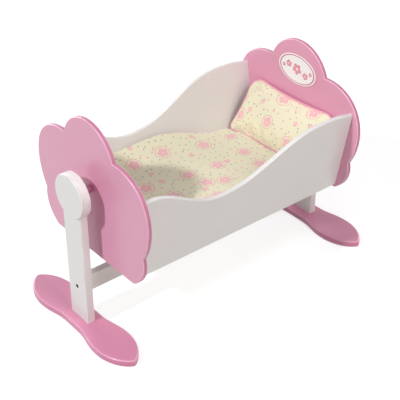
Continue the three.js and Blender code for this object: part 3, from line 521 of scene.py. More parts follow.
# The printed cotton: how far apart its motifs lie, how large they are, and its topstitch
PETALS, FULL_TURN = 5, 6.283
BIG_PITCH, BIG_RADIUS = 0.072, 0.0105
SMALL_PITCH, SMALL_RADIUS, SMALL_SHIFT = 0.052, 0.0062, (0.031, 0.043, 0)
DOT_PITCH, DOT_RADIUS = 0.0145, 0.0017
INK_DRIFT, COTTON_PITCH = 0.0022, 0.0006
STITCH_INSET, STITCH_HALF_PITCH, STITCH_HALF_LENGTH = 0.0062, 0.0024, 0.0016
CREAM = srgb(237, 233, 203)
ROSE = srgb(244, 188, 194)
DEEP_ROSE = srgb(218, 128, 146)
BLUSH = srgb(247, 216, 208)
THREAD = srgb(250, 240, 225)
DOT_TINTS = ((0, srgb(228, 140, 160)), (0.3, srgb(160, 166, 146)), (0.55, srgb(172, 156, 168)))


def petal_edge(net, angle, size, valley):
    """How far a blossom reaches at an angle: its size, or that share of it between petals."""
    wave = net.math("ABSOLUTE", net.math("COSINE", net.times(angle, PETALS / 2)))
    return net.times(net.remap(wave, 0, 1, valley, 1), size)


def blossoms(net, uv, pitch, size, randomness):
    """Scattered blossoms, about a pitch apart. Gives the distance from the middle of the
    nearest one, its petal edge there, its reach, and a random number that belongs to it."""
    cells = net.add("ShaderNodeTexVoronoi", voronoi_dimensions="2D", feature="F1")
    net.put(cells.inputs["Vector"], uv)
    cells.inputs["Scale"].default_value = 1 / pitch
    cells.inputs["Randomness"].default_value = randomness
    local = net.vector("SUBTRACT", uv, cells.outputs["Position"])
    pick, turn, grow = net.split(cells.outputs["Color"])
    x, y, _ = net.split(local)
    angle = net.math("ADD", net.math("ARCTAN2", y, x), net.times(turn, FULL_TURN))
    reach = net.times(net.remap(grow, 0, 1, 0.85, 1.1), size)
    return net.length(local), petal_edge(net, angle, reach, 0.66), reach, pick


def tinted_dots(net, colour, uv, clear):
    radius, _, reach, pick = blossoms(net, uv, DOT_PITCH, DOT_RADIUS, 0.9)
    dots = net.times(inside(net, radius, reach, 0.0004), net.math("LESS_THAN", pick, 0.8))
    tint = net.add("ShaderNodeValToRGB")
    tint.color_ramp.interpolation = "CONSTANT"
    stops = tint.color_ramp.elements
    first, second, third = DOT_TINTS
    stops[0].color = first[1]
    stops[1].position, stops[1].color = second
    stops.new(third[0]).color = third[1]
    net.put(tint.inputs[0], pick)
    return net.mix(net.times(net.times(dots, clear), 0.9), colour, tint.outputs[0])


def small_blossoms(net, colour, uv, clear):
    radius, edge, _, pick = blossoms(net, uv, SMALL_PITCH, SMALL_RADIUS, 0.8)
    shown = net.times(net.math("LESS_THAN", pick, 0.6), clear)
    petals = net.times(inside(net, radius, edge), shown)
    colour = net.mix(net.times(petals, 0.8), colour, ROSE)
    rim = net.times(band(net, radius, edge, 0.0004), shown)
    return net.mix(net.times(rim, 0.6), colour, DEEP_ROSE)


def outlined_blossoms(net, colour, radius, edge, reach):
    """Large blossoms with a heart, each in a wavy outline of its own."""
    halo = net.math("ADD", net.times(edge, 0.35), net.times(reach, 1.15))
    heart = net.times(reach, 0.26)
    colour = net.mix(net.times(inside(net, radius, halo, 0.0012), 0.3), colour, BLUSH)
    colour = net.mix(net.times(inside(net, radius, edge), 0.9), colour, ROSE)
    for middle, depth in ((halo, 0.7), (edge, 0.75)):
        line = band(net, radius, middle, 0.0006)
        colour = net.mix(net.times(line, depth), colour, DEEP_ROSE)
    colour = net.mix(inside(net, radius, heart), colour, BLUSH)
    return net.mix(net.times(band(net, radius, heart, 0.0004), 0.8), colour, DEEP_ROSE)


def topstitch(net):
    """Where the thread lies along the seam, and where it pulls the cloth in."""
    along, from_rim, _ = net.split(net.uv("seam"))
    dash = net.math("PINGPONG", along, STITCH_HALF_PITCH)
    row = band(net, from_rim, STITCH_INSET, 0.00035, 0.0002)
    stitch = net.times(row, net.math("LESS_THAN", dash, STITCH_HALF_LENGTH))
    return stitch, band(net, from_rim, STITCH_INSET, 0.0012, 0.0014)


def print_cotton(name):
    """Cream cotton with outlined blossoms, small blossoms and dots, and a topstitch."""
    net = Net(name)
    uv = net.uv("cloth")
    wobble = net.add("ShaderNodeTexNoise")
    net.put(wobble.inputs["Vector"], uv)
    wobble.inputs["Scale"].default_value = 120
    drift = net.vector("SUBTRACT", wobble.outputs["Color"], (0.5, 0.5, 0.5))
    inked = net.vector("ADD", uv, net.scaled(drift, INK_DRIFT))

    radius, edge, reach, _ = blossoms(net, inked, BIG_PITCH, BIG_RADIUS, 0.6)
    clear = net.math("SUBTRACT", 1, inside(net, radius, net.times(reach, 1.75)))
    colour = net.mix(net.noise(uv, 14, 2), darker(CREAM, 0.97), CREAM)
    colour = tinted_dots(net, colour, uv, clear)
    colour = small_blossoms(net, colour, net.vector("ADD", inked, SMALL_SHIFT), clear)
    colour = outlined_blossoms(net, colour, radius, edge, reach)
    stitch, groove = topstitch(net)
    pulled = net.math("SUBTRACT", stitch, groove)
    net.set(
        Base_Color=net.mix(net.times(stitch, 0.8), colour, THREAD),
        Roughness=net.remap(net.noise(uv, 500, 2), 0.3, 0.7, 0.82, 0.94),
        Normal=net.bump(pulled, 0.5, 0.0006, weave(net, uv, COTTON_PITCH, 0.35)),
        Sheen_Weight=0.25,
        Sheen_Roughness=0.5,
    )
    return net.material


# The printed plate: each flower's place across and up from the middle, its size and its turn
PLATE_FLOWERS = (
    (0.0, 0.001, 0.0115, 0.3),
    (0.0235, 0.006, 0.0072, 1.0),
    (-0.0235, -0.007, 0.0072, 0.1),
    (0.038, -0.001, 0.0038, 0.6),
    (-0.038, 0.002, 0.0038, 0.9),
)
STEM_HALF_LENGTH, STEM_SWING, STEM_WAVES, STEM_DROP = 0.036, 0.005, 75, -0.001
PLATE_PINK = srgb(196, 62, 112)
PLATE_ROSE = srgb(238, 150, 178)
PLATE_HEART = srgb(252, 236, 200)
PLATE_GREEN = srgb(170, 190, 150)


def print_plate(name):
    """White plate with a thin ring and a spray of simple flowers on a wavy stem."""
    net = Net(name)
    place = net.vector("SUBTRACT", net.place(), (0, 0, PLATE_RISE))
    _, y, z = net.split(place)
    shares = (0, 1 / PLATE_HALF_WIDTH, 1 / PLATE_HALF_HEIGHT)
    out = net.length(net.vector("MULTIPLY", place, shares))
    colour = net.mix(net.noise(place, 30, 2), srgb(250, 247, 248), srgb(254, 252, 253))
    colour = net.mix(band(net, out, 0.905, 0.026, 0.01), colour, PLATE_PINK)
    swing = net.times(net.math("SINE", net.times(y, STEM_WAVES)), STEM_SWING)
    stem = band(net, net.math("SUBTRACT", z, swing), STEM_DROP, 0.0005, 0.0003)
    stem = net.times(stem, inside(net, net.math("ABSOLUTE", y), STEM_HALF_LENGTH))
    colour = net.mix(stem, colour, PLATE_GREEN)
    for flower_y, flower_z, size, turn in PLATE_FLOWERS:
        local = net.vector("SUBTRACT", place, (0, flower_y, flower_z))
        _, across, up = net.split(local)
        radius = net.length(net.vector("MULTIPLY", local, (0, 1, 1)))
        edge = petal_edge(net, net.math("ADD", net.math("ARCTAN2", up, across), turn), size, 0.6)
        colour = net.mix(inside(net, radius, edge, 0.0003), colour, PLATE_ROSE)
        colour = net.mix(band(net, radius, edge, 0.0005, 0.0002), colour, PLATE_PINK)
        colour = net.mix(inside(net, radius, size * 0.28, 0.0003), colour, PLATE_HEART)
    net.set(
        Base_Color=colour,
        Roughness=net.remap(net.noise(place, 300, 2), 0.3, 0.7, 0.26, 0.36),
        Normal=net.bump(net.noise(place, 700, 2), 0.04, 0.0001),
        Coat_Weight=0.3,
        Coat_Roughness=0.12,
    )
    return net.material


PINK = srgb(231, 161, 190)
# Painted shade: a darker pink for the edges of the boards.
PINK_EDGE_SHADE = srgb(192, 100, 142)
# Painted highlight: a lighter pink where the boards' faces round over into their edges.
PINK_PAINTED_HIGHLIGHT = srgb(246, 212, 226)
FOOT_PINK = srgb(223, 146, 178)
# Painted shade: a darker pink for the edges of the feet.
FOOT_EDGE_SHADE = srgb(212, 128, 165)
# Painted highlight: a lighter pink where the feet's top face rounds over into their sides.
FOOT_PAINTED_HIGHLIGHT = srgb(240, 184, 208)
WHITE = srgb(238, 237, 235)
WHITE_EDGE = srgb(240, 240, 237)
X_AXIS, Z_AXIS = 0, 2
pink_board = paint("pink_board_paint", PINK, PINK_EDGE_SHADE, X_AXIS, PINK_PAINTED_HIGHLIGHT)
pink_foot = paint("pink_foot_paint", FOOT_PINK, FOOT_EDGE_SHADE, Z_AXIS, FOOT_PAINTED_HIGHLIGHT)
white_board = paint("white_post_paint", WHITE, WHITE_EDGE, X_AXIS)
white_plain = paint("white_paint", WHITE)
ply = paint("white_base_paint", srgb(232, 230, 224), WHITE_EDGE, Z_AXIS)
steel = metal("zinc_steel", srgb(196, 198, 202), 0.25, 0.4)
dark_steel = metal("blackened_steel", srgb(34, 33, 34), 0.4, 0.55)
nylon = plastic("nylon", srgb(240, 240, 236))
pink_nylon = plastic("pink_nylon", srgb(207, 135, 166))
beech = wood("beech", srgb(222, 190, 150), srgb(196, 156, 112))
# Painted shade: a very dark wood for the wall of the stretcher bolt's hole. The grain stands for
# the bare board, and the darkness stands in for the shade inside the hole.
painted_bore_shade = wood("painted_bore_shade", srgb(72, 62, 56), srgb(50, 44, 42))
print_cloth = print_cotton("printed_cotton")
pad_cloth = plain_cotton("pad_cotton", srgb(240, 235, 218))
pillow_cord = plain_cotton("pillow_piping", srgb(238, 172, 186), 0.0005)
quilt_cord = plain_cotton("quilt_piping", srgb(243, 208, 205), 0.0005)
plate_print = print_plate("plate_print")


# Rigid pieces


def standing(inner_face, rise=0.0):
    """Board coordinates (across, up, thickness) set upright: across is Y, up is Z."""
    axes = Matrix(((0, 0, 1, 0), (1, 0, 0, 0), (0, 1, 0, 0), (0, 0, 0, 1)))
    return Matrix.Translation((inner_face, 0, rise)) @ axes


def at_end(end, matrix=Matrix.Identity(4)):
    """A placing at the head end, turned round for a piece of the foot end."""
    return matrix if end == "head_end" else HALF_TURN @ matrix


def flower_board(end):
    """An end board with the recess for the pivot insert and its flange."""
    bm = board(end_outline(), BOARD, EDGE_ROUND)
    bm.transform(at_end(end, standing(HALF_INNER, CRIB_BOTTOM)))
    piece = new_object(end + "_flower_board", bm)
    flange_floor = HALF_OUTER - INSERT_FLANGE_THICKNESS - SEAT_GAP
    barrel_floor = HALF_OUTER - INSERT_DEPTH - SEAT_GAP
    recess = [
        cylinder_x(INSERT_FLANGE + SEAT_GAP, flange_floor, HALF_OUTER + OVERRUN, PIVOT_HEIGHT),
        cylinder_x(INSERT_BARREL + SEAT_GAP, barrel_floor, HALF_OUTER, PIVOT_HEIGHT),
    ]
    subtract(piece, end, recess)
    shade(piece)
    finish_piece(piece, pink_board, "pink_paint", "crib", end + "_board")


def round_post(end):
    """A post with its bores: the pivot's, and the stretcher bolt's, whose wall is coloured dark as
    painted shade inside the hole.
    """
    bottom = FOOT_THICKNESS + SEAT_GAP
    outline = post_outline(bottom - EDGE_ROUND - OVERRUN)
    bm = board(outline, POST_THICKNESS, EDGE_ROUND, cuts=[((0, bottom, 0), (0, -1, 0))])
    bm.transform(at_end(end, standing(POST_INNER)))
    piece = new_object(end + "_round_post", bm)
    start, stop = POST_INNER - OVERRUN, POST_OUTER + OVERRUN
    bolt_bore = BOLT_HEAD + SEAT_GAP
    bolt_floor = POST_OUTER - BOLT_HEAD_DEPTH - SEAT_GAP
    holes = [
        cylinder_x(BUSH_RADIUS + SEAT_GAP, start, stop, PIVOT_HEIGHT),
        cylinder_x(COUNTERBORE_RADIUS, POST_OUTER - COUNTERBORE_DEPTH, stop, PIVOT_HEIGHT),
        cylinder_x(BOLT_SHANK + SEAT_GAP, start, stop, BOLT_HEIGHT),
        cylinder_x(bolt_bore, bolt_floor, stop, BOLT_HEIGHT),
    ]
    subtract(piece, end, holes)
    shade(piece)
    finish_piece(piece, white_board, "white_paint", "stand", end + "_post")
    # The wall of the stretcher bolt's hole takes the dark wood: painted shade in the hole.
    piece.data.materials.append(painted_bore_shade)
    for face in piece.data.polygons:
        _, y, z = face.center
        if math.hypot(y, z - BOLT_HEIGHT) < bolt_bore and abs(face.normal.x) < 0.5:
            face.material_index = 1


def round_cover(end):
    """The disc on a post's head, with a soft rim and a collar in the counterbore."""
    back = POST_OUTER + SEAT_GAP
    front, radius = back + DISC_THICKNESS, POST_HEAD_RADIUS
    rim = [
        (radius - DISC_EDGE * (1 - math.cos(a)), front - DISC_EDGE * (1 - math.sin(a)))
        for a in np.linspace(0, math.pi / 2, 9)
    ]
    outer = COUNTERBORE_RADIUS - SEAT_GAP
    inner = outer - COLLAR_WALL
    collar_end = back - COLLAR_DEPTH
    collar = [(0, back), (inner, back), (inner, collar_end), (outer, collar_end), (outer, back)]
    bm = revolve([*collar, (radius, back), *rim, (0, front)])
    bmesh.ops.translate(bm, verts=bm.verts, vec=(0, 0, PIVOT_HEIGHT))
    bm.transform(at_end(end))
    piece = new_object(end + "_round_cover", bm)
    shade(piece)
    finish_piece(piece, white_board, "white_paint", "stand", end + "_cover_disc")


def foot_screw_hole(y):
    """The countersink and bore under a foot, as a bmesh."""
    head, shank = FOOT_SCREW_HEAD + SEAT_GAP, FOOT_SCREW_SHANK + SEAT_GAP
    profile = (
        (head, -OVERRUN),
        (head, FOOT_SCREW_SINK),
        (shank, FOOT_SCREW_SINK + head - shank),
        (shank, FOOT_THICKNESS + OVERRUN),
    )
    turn = [2 * math.pi * i / 32 for i in range(32)]
    bm = loops_mesh(
        [(POST_MIDDLE + r * math.cos(t), y + r * math.sin(t), z) for t in turn] for r, z in profile
    )
    bmesh.ops.recalc_face_normals(bm, faces=bm.faces)
    return bm


def shaped_foot(end):
    bm = board(foot_outline(), FOOT_THICKNESS, FOOT_ROUND, 8)
    bm.transform(at_end(end, Matrix.Translation((POST_MIDDLE, 0, 0))))
    piece = new_object(end + "_shaped_foot", bm)
    holes = [foot_screw_hole(y) for y in (-FOOT_SCREW_PLACE, FOOT_SCREW_PLACE)]
    subtract(piece, end, holes)
    shade(piece)
    finish_piece(piece, pink_foot, "pink_paint", "stand", end + "_stand_foot")


def wavy_panel(name, side):
    """A side panel, squared off where it meets the end boards. side is -1 in front, 1 behind."""
    half = HALF_INNER - SEAT_GAP
    cuts = [((half, 0, 0), (1, 0, 0)), ((-half, 0, 0), (-1, 0, 0))]
    bm = board(panel_outline(half + PANEL_OVERLENGTH), BOARD, EDGE_ROUND, cuts=cuts)
    lean = Matrix.Rotation(math.pi / 2 - side * FLARE, 4, "X")
    shift = Matrix.Translation((0, 0, -BOARD if side < 0 else 0))
    bm.transform(Matrix.Translation((0, side * PANEL_BOTTOM_HALF, PANEL_BOTTOM)) @ lean @ shift)
    piece = new_object(name + "_wavy_panel", bm)
    shade(piece)
    finish_piece(piece, white_plain, "white_paint", "crib", name + "_panel")


def printed_oval():
    plate_low, plate_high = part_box("oval_plate")
    turn = np.linspace(0, 2 * math.pi, 121)[:-1]
    oval = closed(np.c_[PLATE_HALF_WIDTH * np.cos(turn), PLATE_HALF_HEIGHT * np.sin(turn)])
    bm = board(oval, plate_high.x - plate_low.x, PLATE_EDGE, 3)
    bm.transform(standing(plate_low.x, PLATE_RISE))
    piece = new_object("printed_oval", bm)
    shade(piece)
    finish_piece(piece, plate_print, "printed_plate", "crib", "oval_plate")


for end in ("foot_end", "head_end"):
    flower_board(end)
    round_post(end)
    round_cover(end)
    shaped_foot(end)
wavy_panel("front", -1)
wavy_panel("back", 1)
printed_oval()


# Soft pieces

ON_RIM = 0.999


def panel_inside(height):
    """Half the width between the panels at a height above the floor."""
    return PANEL_BOTTOM_HALF + (height - PANEL_BOTTOM) * math.tan(FLARE) - BOARD / math.cos(FLARE)


def cloth_outline(half_length, half_width, corner, draw_in, foot_corner=None):
    """The rim of a cloth: a rectangle with round corners and slightly drawn-in sides, whose
    half width is a function of the place along it."""
    turn = np.linspace(0, math.pi / 2, 13)
    bend, foot_bend = (
        1 - (1 - np.sin(turn)) * radius / half_length for radius in (corner, foot_corner or corner)
    )
    u = np.concatenate([-foot_bend[::-1], np.linspace(-foot_bend[0], bend[0], 121)[1:-1], bend])
    radius = np.where(u < 0, foot_corner or corner, corner)
    start = np.where(u < 0, foot_bend[0], bend[0])
    past = np.clip((np.abs(u) - start) / (1 - start), 0, 1)
    side = half_width(u * half_length) - radius * (1 - np.sqrt(1 - past**2))
    long_side = np.c_[u * half_length, side - draw_in * (1 - u**2)]
    v = np.linspace(1, -1, 41)
    head = np.c_[half_length - draw_in * (1 - v**2), v * side[-1]]
    foot = np.c_[draw_in * (1 - v**2) - half_length, -v * side[0]]
    return closed(long_side, head, long_side[::-1] * (1, -1), foot)


def stations(count):
    """Shares from -1 to 1, closer together near the rim."""
    turn = 0.82 * math.pi / 2
    return np.sin(np.linspace(-turn, turn, count + 1)) / math.sin(turn)


def rim_share(u, v):
    """How far a place of a cloth lies on the way from its middle, 0, to its rim, 1."""
    return np.maximum(np.abs(u), np.abs(v))


def fullness(u, v):
    return np.sqrt((1 - u**8) * (1 - v**8))


def straight(half_width):
    """A cloth's half width that is the same all along it."""
    return lambda x: np.full_like(x, half_width)


class Cushion:
    """A filled cloth form over an outline: a grid stretched to the outline, above and below
    the seam. Its cloth is laid out flat for the print, and its seam has its own coordinates."""

    def __init__(self, outline, u, v, top, bottom):
        angle = np.arctan2(outline[:, 1], outline[:, 0]) % (2 * math.pi)
        order = np.argsort(angle)
        radii = np.linalg.norm(outline, axis=1)[order]
        step = np.linalg.norm(np.roll(outline, -1, 0) - outline, axis=1)
        lengths = np.concatenate([[0], np.cumsum(step)[:-1]])[order]
        half_x, half_y = np.abs(outline).max(0)
        uu, vv = np.meshgrid(u, v, indexing="ij")
        self.share = rim_share(uu, vv)
        ray = np.arctan2(vv * half_y, uu * half_x) % (2 * math.pi)
        reach = np.interp(ray, angle[order], radii, period=2 * math.pi)
        rim = np.stack([np.cos(ray), np.sin(ray)], -1) * reach[..., None]
        flat = rim * self.share[..., None]
        self.columns, self.rows = len(u) - 1, len(v) - 1
        self.count = len(u) * len(v)
        self.sides = [np.dstack([flat, level(uu, vv)]) for level in (top, bottom)]
        self.along = np.interp(ray, angle[order], lengths)

    def laid_flat(self, side):
        """How far along and across the cloth each point lies, and how far from the rim."""
        spread = []
        for axis in (0, 1):
            step = np.linalg.norm(np.diff(side, axis=axis), axis=-1)
            start = [(1, 0), (0, 0)] if axis == 0 else [(0, 0), (1, 0)]
            total = np.cumsum(np.pad(step, start), axis=axis)
            whole = total[-1:] if axis == 0 else total[:, -1:]
            spread.append((total - whole / 2, whole / 2 - np.abs(total - whole / 2)))
        (along, from_end), (across, from_side) = spread
        return np.stack([along, across], -1), np.minimum(from_end, from_side)

    def faces(self):
        columns, rows, count = self.columns, self.rows, self.count

        def at(i, j, level=0):
            return i * (rows + 1) + j + level * count

        faces = []
        for i in range(columns):
            for j in range(rows):
                quad = (at(i, j), at(i + 1, j), at(i + 1, j + 1), at(i, j + 1))
                faces.append(quad)
                faces.append(tuple(k + count for k in quad[::-1]))
        border = [(i, 0) for i in range(columns)] + [(columns, j) for j in range(rows)]
        border += [(i, rows) for i in range(columns, 0, -1)] + [(0, j) for j in range(rows, 0, -1)]
        for a, b in zip(border, border[1:] + border[:1]):
            faces.append((at(*a, 1), at(*b, 1), at(*b), at(*a)))
        return faces

    def make(self, name, uv_turn, uv_shift):
        """The object, with the print turned and shifted on its cloth."""
        mesh = bpy.data.meshes.new(name)
        points = np.concatenate([side.reshape(-1, 3) for side in self.sides])
        mesh.from_pydata(points.tolist(), [], self.faces())
        cos, sin = math.cos(uv_turn), math.sin(uv_turn)
        corners = np.array([loop.vertex_index for loop in mesh.loops])
        laid = [self.laid_flat(side) for side in self.sides]
        cloth = np.concatenate([flat.reshape(-1, 2) for flat, _ in laid])
        cloth = cloth @ np.array([[cos, sin], [-sin, cos]]) + uv_shift
        seam = np.concatenate([np.dstack([self.along, rim]).reshape(-1, 2) for _, rim in laid])
        for layer, values in (("cloth", cloth), ("seam", seam)):
            uv = mesh.uv_layers.new(name=layer)
            uv.data.foreach_set("uv", values[corners].astype(np.float32).ravel())
        made = new_object(name, mesh)
        mesh.shade_smooth()
        return made


def puff(piece, pinned, pressure, grow, cap, frames=20):
    """Blows a cloth form up a little: its cloth is cut larger than the outline it is sewn to,
    so it puckers at the seam. No point moves further than the cap."""
    mesh = piece.data
    before = np.array([v.co for v in mesh.vertices])
    group = piece.vertex_groups.new(name="sewn")
    for index in np.flatnonzero(pinned):
        group.add([int(index)], 1.0, "REPLACE")
    cloth = piece.modifiers.new("cloth", "CLOTH")
    s = cloth.settings
    s.quality, s.mass = 6, 0.25
    s.tension_stiffness, s.compression_stiffness, s.shear_stiffness = 12, 12, 4
    s.bending_stiffness = 0.25
    s.use_pressure, s.uniform_pressure_force = True, pressure
    s.vertex_group_mass = "sewn"
    s.shrink_min = -grow
    s.effector_weights.gravity = 0
    cloth.collision_settings.use_collision = False
    cloth.point_cache.frame_start, cloth.point_cache.frame_end = 1, frames
    scene = bpy.context.scene
    for number in range(1, frames + 1):
        scene.frame_set(number)
    graph = bpy.context.evaluated_depsgraph_get()
    result = piece.evaluated_get(graph).to_mesh()
    after = np.array([v.co for v in result.vertices])
    piece.modifiers.remove(cloth)
    piece.vertex_groups.remove(group)
    scene.frame_set(1)
    move = after - before
    size = np.linalg.norm(move, axis=1)
    move *= np.minimum(1, cap / np.maximum(size, 1e-9))[:, None]
    mesh.vertices.foreach_set("co", (before + move).astype(np.float32).ravel())
    mesh.update()


def piping(name, centreline, radius, sides=12):
    """A closed round cord along a loop of points."""
    points = np.asarray(centreline, float)
    after, before = np.roll(points, -1, 0), np.roll(points, 1, 0)
    tangent = after - before
    tangent /= np.linalg.norm(tangent, axis=1)[:, None]
    across = np.cross(tangent, (0, 0, 1.0))
    across /= np.linalg.norm(across, axis=1)[:, None]
    up = np.cross(across, tangent)
    bm = bmesh.new()
    rings = []
    for p, a, b in zip(points, across, up):
        ring = []
        for i in range(sides):
            angle = 2 * math.pi * i / sides
            ring.append(bm.verts.new(p + radius * (math.cos(angle) * a + math.sin(angle) * b)))
        rings.append(ring)
    for low, high in zip(rings, rings[1:] + rings[:1]):
        for i in range(sides):
            j = (i + 1) % sides
            bm.faces.new((low[i], high[i], high[j], low[j]))
    bmesh.ops.recalc_face_normals(bm, faces=bm.faces)
    made = new_object(name, bm)
    made.data.shade_smooth()
    return made


def even(points, spacing):
    """A closed 2D loop resampled at an even spacing."""
    loop = np.vstack([points, points[:1]])
    along = np.concatenate([[0], np.cumsum(np.linalg.norm(np.diff(loop, axis=0), axis=1))])
    count = max(12, round(along[-1] / spacing))
    at = np.linspace(0, along[-1], count, endpoint=False)
    return np.c_[np.interp(at, along, loop[:, 0]), np.interp(at, along, loop[:, 1])]


def subdivide(piece):
    modifier = piece.modifiers.new("smooth", "SUBSURF")
    modifier.levels = modifier.render_levels = 1


# Pillow: its lower edge stands on the quilt's thin end, and it leans on the head board
pillow_low, pillow_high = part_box("pillow")
half_width = straight(panel_inside(pillow_low.z) - PILLOW_SIDE_GAP)


def pillow_top(u, v):
    crown = PILLOW_CROWN * (1 - u**2) * (1 - v**2)
    return PILLOW_SEAM + PILLOW_FILL * fullness(u, v) + crown


def pillow_bottom(u, v):
    return -pillow_top(u, v)


pillow_loop = cloth_outline(
    PILLOW_LENGTH / 2, half_width, PILLOW_CORNER, PILLOW_DRAW_IN, PILLOW_FOOT_CORNER
)
pillow_loop = inset(pillow_loop, PILLOW_PIPING)
form = Cushion(pillow_loop, stations(36), stations(64), pillow_top, pillow_bottom)
pillow = form.make("soft_pillow", math.pi / 2 + 0.2, (0.413, 0.261))
pinned = np.tile(form.share.ravel() > ON_RIM, 2)
puff(pillow, pinned, pressure=2.2, grow=0.035, cap=0.005)
subdivide(pillow)
cord_loop = even(pillow_loop, 0.003)
pillow_edge = piping("pillow_cord", np.c_[cord_loop, np.zeros(len(cord_loop))], PILLOW_PIPING)
lean = Matrix.Rotation(-PILLOW_LEAN, 4, "Y")
for piece in (pillow, pillow_edge):
    piece.data.transform(lean)
corners = np.array([v.co for v in pillow_edge.data.vertices])
seat = Vector((pillow_high.x - corners[:, 0].max(), 0, pillow_low.z - corners[:, 2].min()))
for piece in (pillow, pillow_edge):
    piece.data.transform(Matrix.Translation(seat))
finish_piece(pillow, print_cloth, "printed_cotton", "pillow", "pillow")
finish_piece(pillow_edge, pillow_cord, "printed_cotton", "pillow")

# Quilt: thin and level under the pillow, with a rolled fold in front of it, then full, with
# its rim turned up along the crib
fold = pillow_low.x


def ramp(x):
    """From 0 at the fold to 1 where the quilt is full."""
    t = np.clip((fold - x) / QUILT_RAMP, 0, 1)
    return t * t * (3 - 2 * t)


def roll(x):
    """The round of the fold, from 0 under the pillow to 1 in front of it."""
    return np.sqrt(1 - (1 - np.clip((fold + FOLD_TUCK - x) / FOLD_LENGTH, 0, 1)) ** 2)


def quilt_half_width(x):
    return panel_inside(QUILT_BOTTOM + QUILT_TURN_UP * ramp(x)) - QUILT_SIDE_GAP


def turned_up(u, v):
    """How far the quilt's underside rises towards its rim."""
    return QUILT_TURN_UP * ramp(u * BED_END) * rim_share(u, v) ** 5


def quilt_bottom(u, v):
    return turned_up(u, v) + QUILT_SEAM_MARGIN * (rim_share(u, v) > ON_RIM)


def quilt_top(u, v):
    x = u * BED_END
    fill = QUILT_THIN + QUILT_FOLD_RISE * roll(x) + QUILT_RAMP_RISE * ramp(x)
    return turned_up(u, v) + 2 * PIPING_RADIUS - QUILT_SEAM_MARGIN + fullness(u, v) * fill


quilt_loop = cloth_outline(BED_END, quilt_half_width, QUILT_CORNER, QUILT_DRAW_IN)
across_fold = (fold + FOLD_STEP * np.arange(-9, 6)) / BED_END
u = stations(104)
u = np.sort(np.concatenate([u[(u < across_fold[0]) | (u > across_fold[-1])], across_fold]))
form = Cushion(inset(quilt_loop, QUILT_SEAM_INSET), u, stations(60), quilt_top, quilt_bottom)
quilt = form.make("soft_quilt", 0.12, (0.137, 0.083))
still = (form.share > ON_RIM) | (form.sides[0][..., 0] > fold - FOLD_PINNED)
pinned = np.concatenate([still.ravel(), np.ones(form.count, bool)])
puff(quilt, pinned, pressure=1.2, grow=0.03, cap=0.004)
subdivide(quilt)
cord_loop = even(inset(quilt_loop, PIPING_RADIUS), 0.004)
cord_z = QUILT_TURN_UP * ramp(cord_loop[:, 0]) + PIPING_RADIUS
quilt_edge = piping("quilt_cord", np.c_[cord_loop, cord_z], PIPING_RADIUS)
for piece in (quilt, quilt_edge):
    piece.data.transform(Matrix.Translation((0, 0, QUILT_BOTTOM)))
finish_piece(quilt, print_cloth, "printed_cotton", "quilt", "quilt")
finish_piece(quilt_edge, quilt_cord, "printed_cotton", "quilt")

# Mattress: a foam pad in a plain cover, with rounded edges
_, mattress_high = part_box("mattress")
pad_loop = cloth_outline(mattress_high.x, straight(mattress_high.y), MATTRESS_CORNER, 0)
bm = board(even(pad_loop, 0.006), MATTRESS_TOP - MATTRESS_BOTTOM, MATTRESS_EDGE, 6)
bmesh.ops.translate(bm, verts=bm.verts, vec=(0, 0, MATTRESS_BOTTOM))
pad = new_object("foam_pad", bm)
shade(pad, PAD_SHARP_ANGLE)
finish_piece(pad, pad_cloth, "plain_cotton", "mattress", "mattress")

# Carried-over solids: the first of these words in a solid's name gives its material
SOLID_LOOKS = {
    "pivot_bush": nylon,
    "pivot_sleeve": pink_nylon,
    "pivot_washer": steel,
    "pivot_bolt": steel,
    "pivot_insert": pink_board,
    "barrel_nut": steel,
    "stretcher_bolt": dark_steel,
    "screw": steel,
    "dowel": beech,
    "cleat": beech,
    "base_board": ply,
    "stretcher": white_plain,
}
for name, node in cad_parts.items():
    if node.hide_render:
        continue
    look = next(material for word, material in SOLID_LOOKS.items() if word in name)
    node.data.materials.clear()
    node.data.materials.append(look)
    node.data.shade_smooth()
    node.data.set_sharp_from_angle(angle=math.radians(SHARP_ANGLE))

# Floor: pale paper that keeps the shadow near the cradle and is white further out
FLOOR_HALF, FLOOR_DROP = 9, 0.0002
SHADOW_REACH, WHITE_REACH, SHADOW_GLOW = 0.9, 2.2, 0.66
floor_mesh = bpy.data.meshes.new("floor")
corners = [(x * FLOOR_HALF, y * FLOOR_HALF, 0) for x, y in ((-1, -1), (1, -1), (1, 1), (-1, 1))]
floor_mesh.from_pydata(corners, [], [(0, 1, 2, 3)])
floor = new_object("floor", floor_mesh)
floor.location.z = -FLOOR_DROP
net = Net("floor_paper")
path = net.add("ShaderNodeLightPath").outputs
indirect = net.math("MAXIMUM", path["Is Glossy Ray"], path["Is Transmission Ray"])
seen = net.math("MAXIMUM", path["Is Camera Ray"], indirect)
away = net.length(net.place())
glow = net.remap(away, SHADOW_REACH, WHITE_REACH, SHADOW_GLOW, 1, smooth=True)
net.set(
    Base_Color=srgb(196, 196, 196),
    Roughness=0.9,
    Emission_Color=(1, 1, 1, 1),
    Emission_Strength=net.times(seen, glow),
)
floor_mesh.materials.append(net.material)

# World: white to the camera and in reflections, and a weak even light on the object
WORLD_LIGHT, WORLD_SEEN = 0.12, 1.0
world = bpy.data.worlds.new("studio")
bpy.context.scene.world = world
world.use_nodes = True
tree = world.node_tree
background = tree.nodes["Background"]
path = tree.nodes.new("ShaderNodeLightPath").outputs
seen = tree.nodes.new("ShaderNodeMath")
seen.operation = "MAXIMUM"
tree.links.new(path["Is Camera Ray"], seen.inputs[0])
tree.links.new(path["Is Glossy Ray"], seen.inputs[1])
strength = tree.nodes.new("ShaderNodeMapRange")
tree.links.new(seen.outputs[0], strength.inputs["Value"])
strength.inputs["To Min"].default_value = WORLD_LIGHT
strength.inputs["To Max"].default_value = WORLD_SEEN
background.inputs["Color"].default_value = (1, 1, 1, 1)
tree.links.new(strength.outputs[0], background.inputs["Strength"])

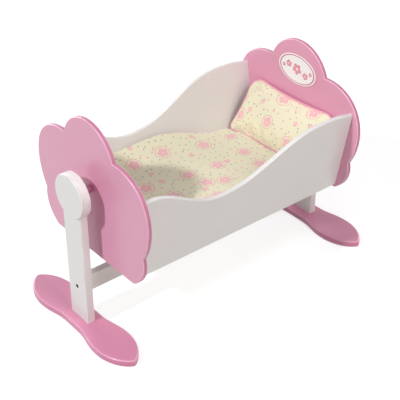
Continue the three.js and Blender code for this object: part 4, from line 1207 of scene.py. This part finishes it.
# Lamps
CRIB_MIDDLE = (0, 0, 0.25)


def lamp(name, place, aim, size, power, colour=(1, 1, 1)):
    data = bpy.data.lights.new(name, "AREA")
    data.shape, data.size, data.energy, data.color = "SQUARE", size, power, colour
    made = bpy.data.objects.new(name, data)
    bpy.context.scene.collection.objects.link(made)
    made.location = place
    made.rotation_euler = (Vector(aim) - Vector(place)).to_track_quat("-Z", "Y").to_euler()


lamp("key", (-5.3, 0.05, 4.84), CRIB_MIDDLE, 0.5, 272)
lamp("fill", (0.2, -3.4, 3.0), CRIB_MIDDLE, 1.2, 42, (1, 0.975, 0.985))
lamp("near", (-0.22, -0.6, 1.4), (0.2, 0, 0.3), 0.3, 3.2)
lamp("front", (0.3, -3.6, 0.35), CRIB_MIDDLE, 1.2, 17, (1, 0.74, 0.56))
lamp("back", (-0.1, 3.8, 1.3), CRIB_MIDDLE, 2.0, 60)
lamp("right", (3.8, 0.2, 0.9), CRIB_MIDDLE, 2.0, 42)

# Camera, fitted to the photograph: its place, its angles in radians, and its focal length in
# pixels of the photograph
CAMERA_PLACE = (-1.0986, -1.3409, 1.3037)
YAW, PITCH, TILT = 0.68478, -0.58407, -0.0011
PHOTO_WIDTH, FOCAL_PIXELS, SENSOR = 400, 1035.91, 36
level = math.cos(PITCH)
forward = Vector((math.sin(YAW) * level, math.cos(YAW) * level, math.sin(PITCH)))
right = Vector((math.cos(YAW), -math.sin(YAW), 0))
upward = right.cross(forward)
right, upward = (
    right * math.cos(TILT) + upward * math.sin(TILT),
    upward * math.cos(TILT) - right * math.sin(TILT),
)
camera_data = bpy.data.cameras.new("camera")
camera_data.sensor_width = SENSOR
camera_data.lens = SENSOR * FOCAL_PIXELS / PHOTO_WIDTH
camera = bpy.data.objects.new("camera", camera_data)
bpy.context.scene.collection.objects.link(camera)
rotation = Matrix((right, upward, -forward)).transposed().to_4x4()
camera.matrix_world = Matrix.Translation(CAMERA_PLACE) @ rotation
bpy.context.scene.camera = camera
bpy.context.scene.view_settings.view_transform = "Standard"
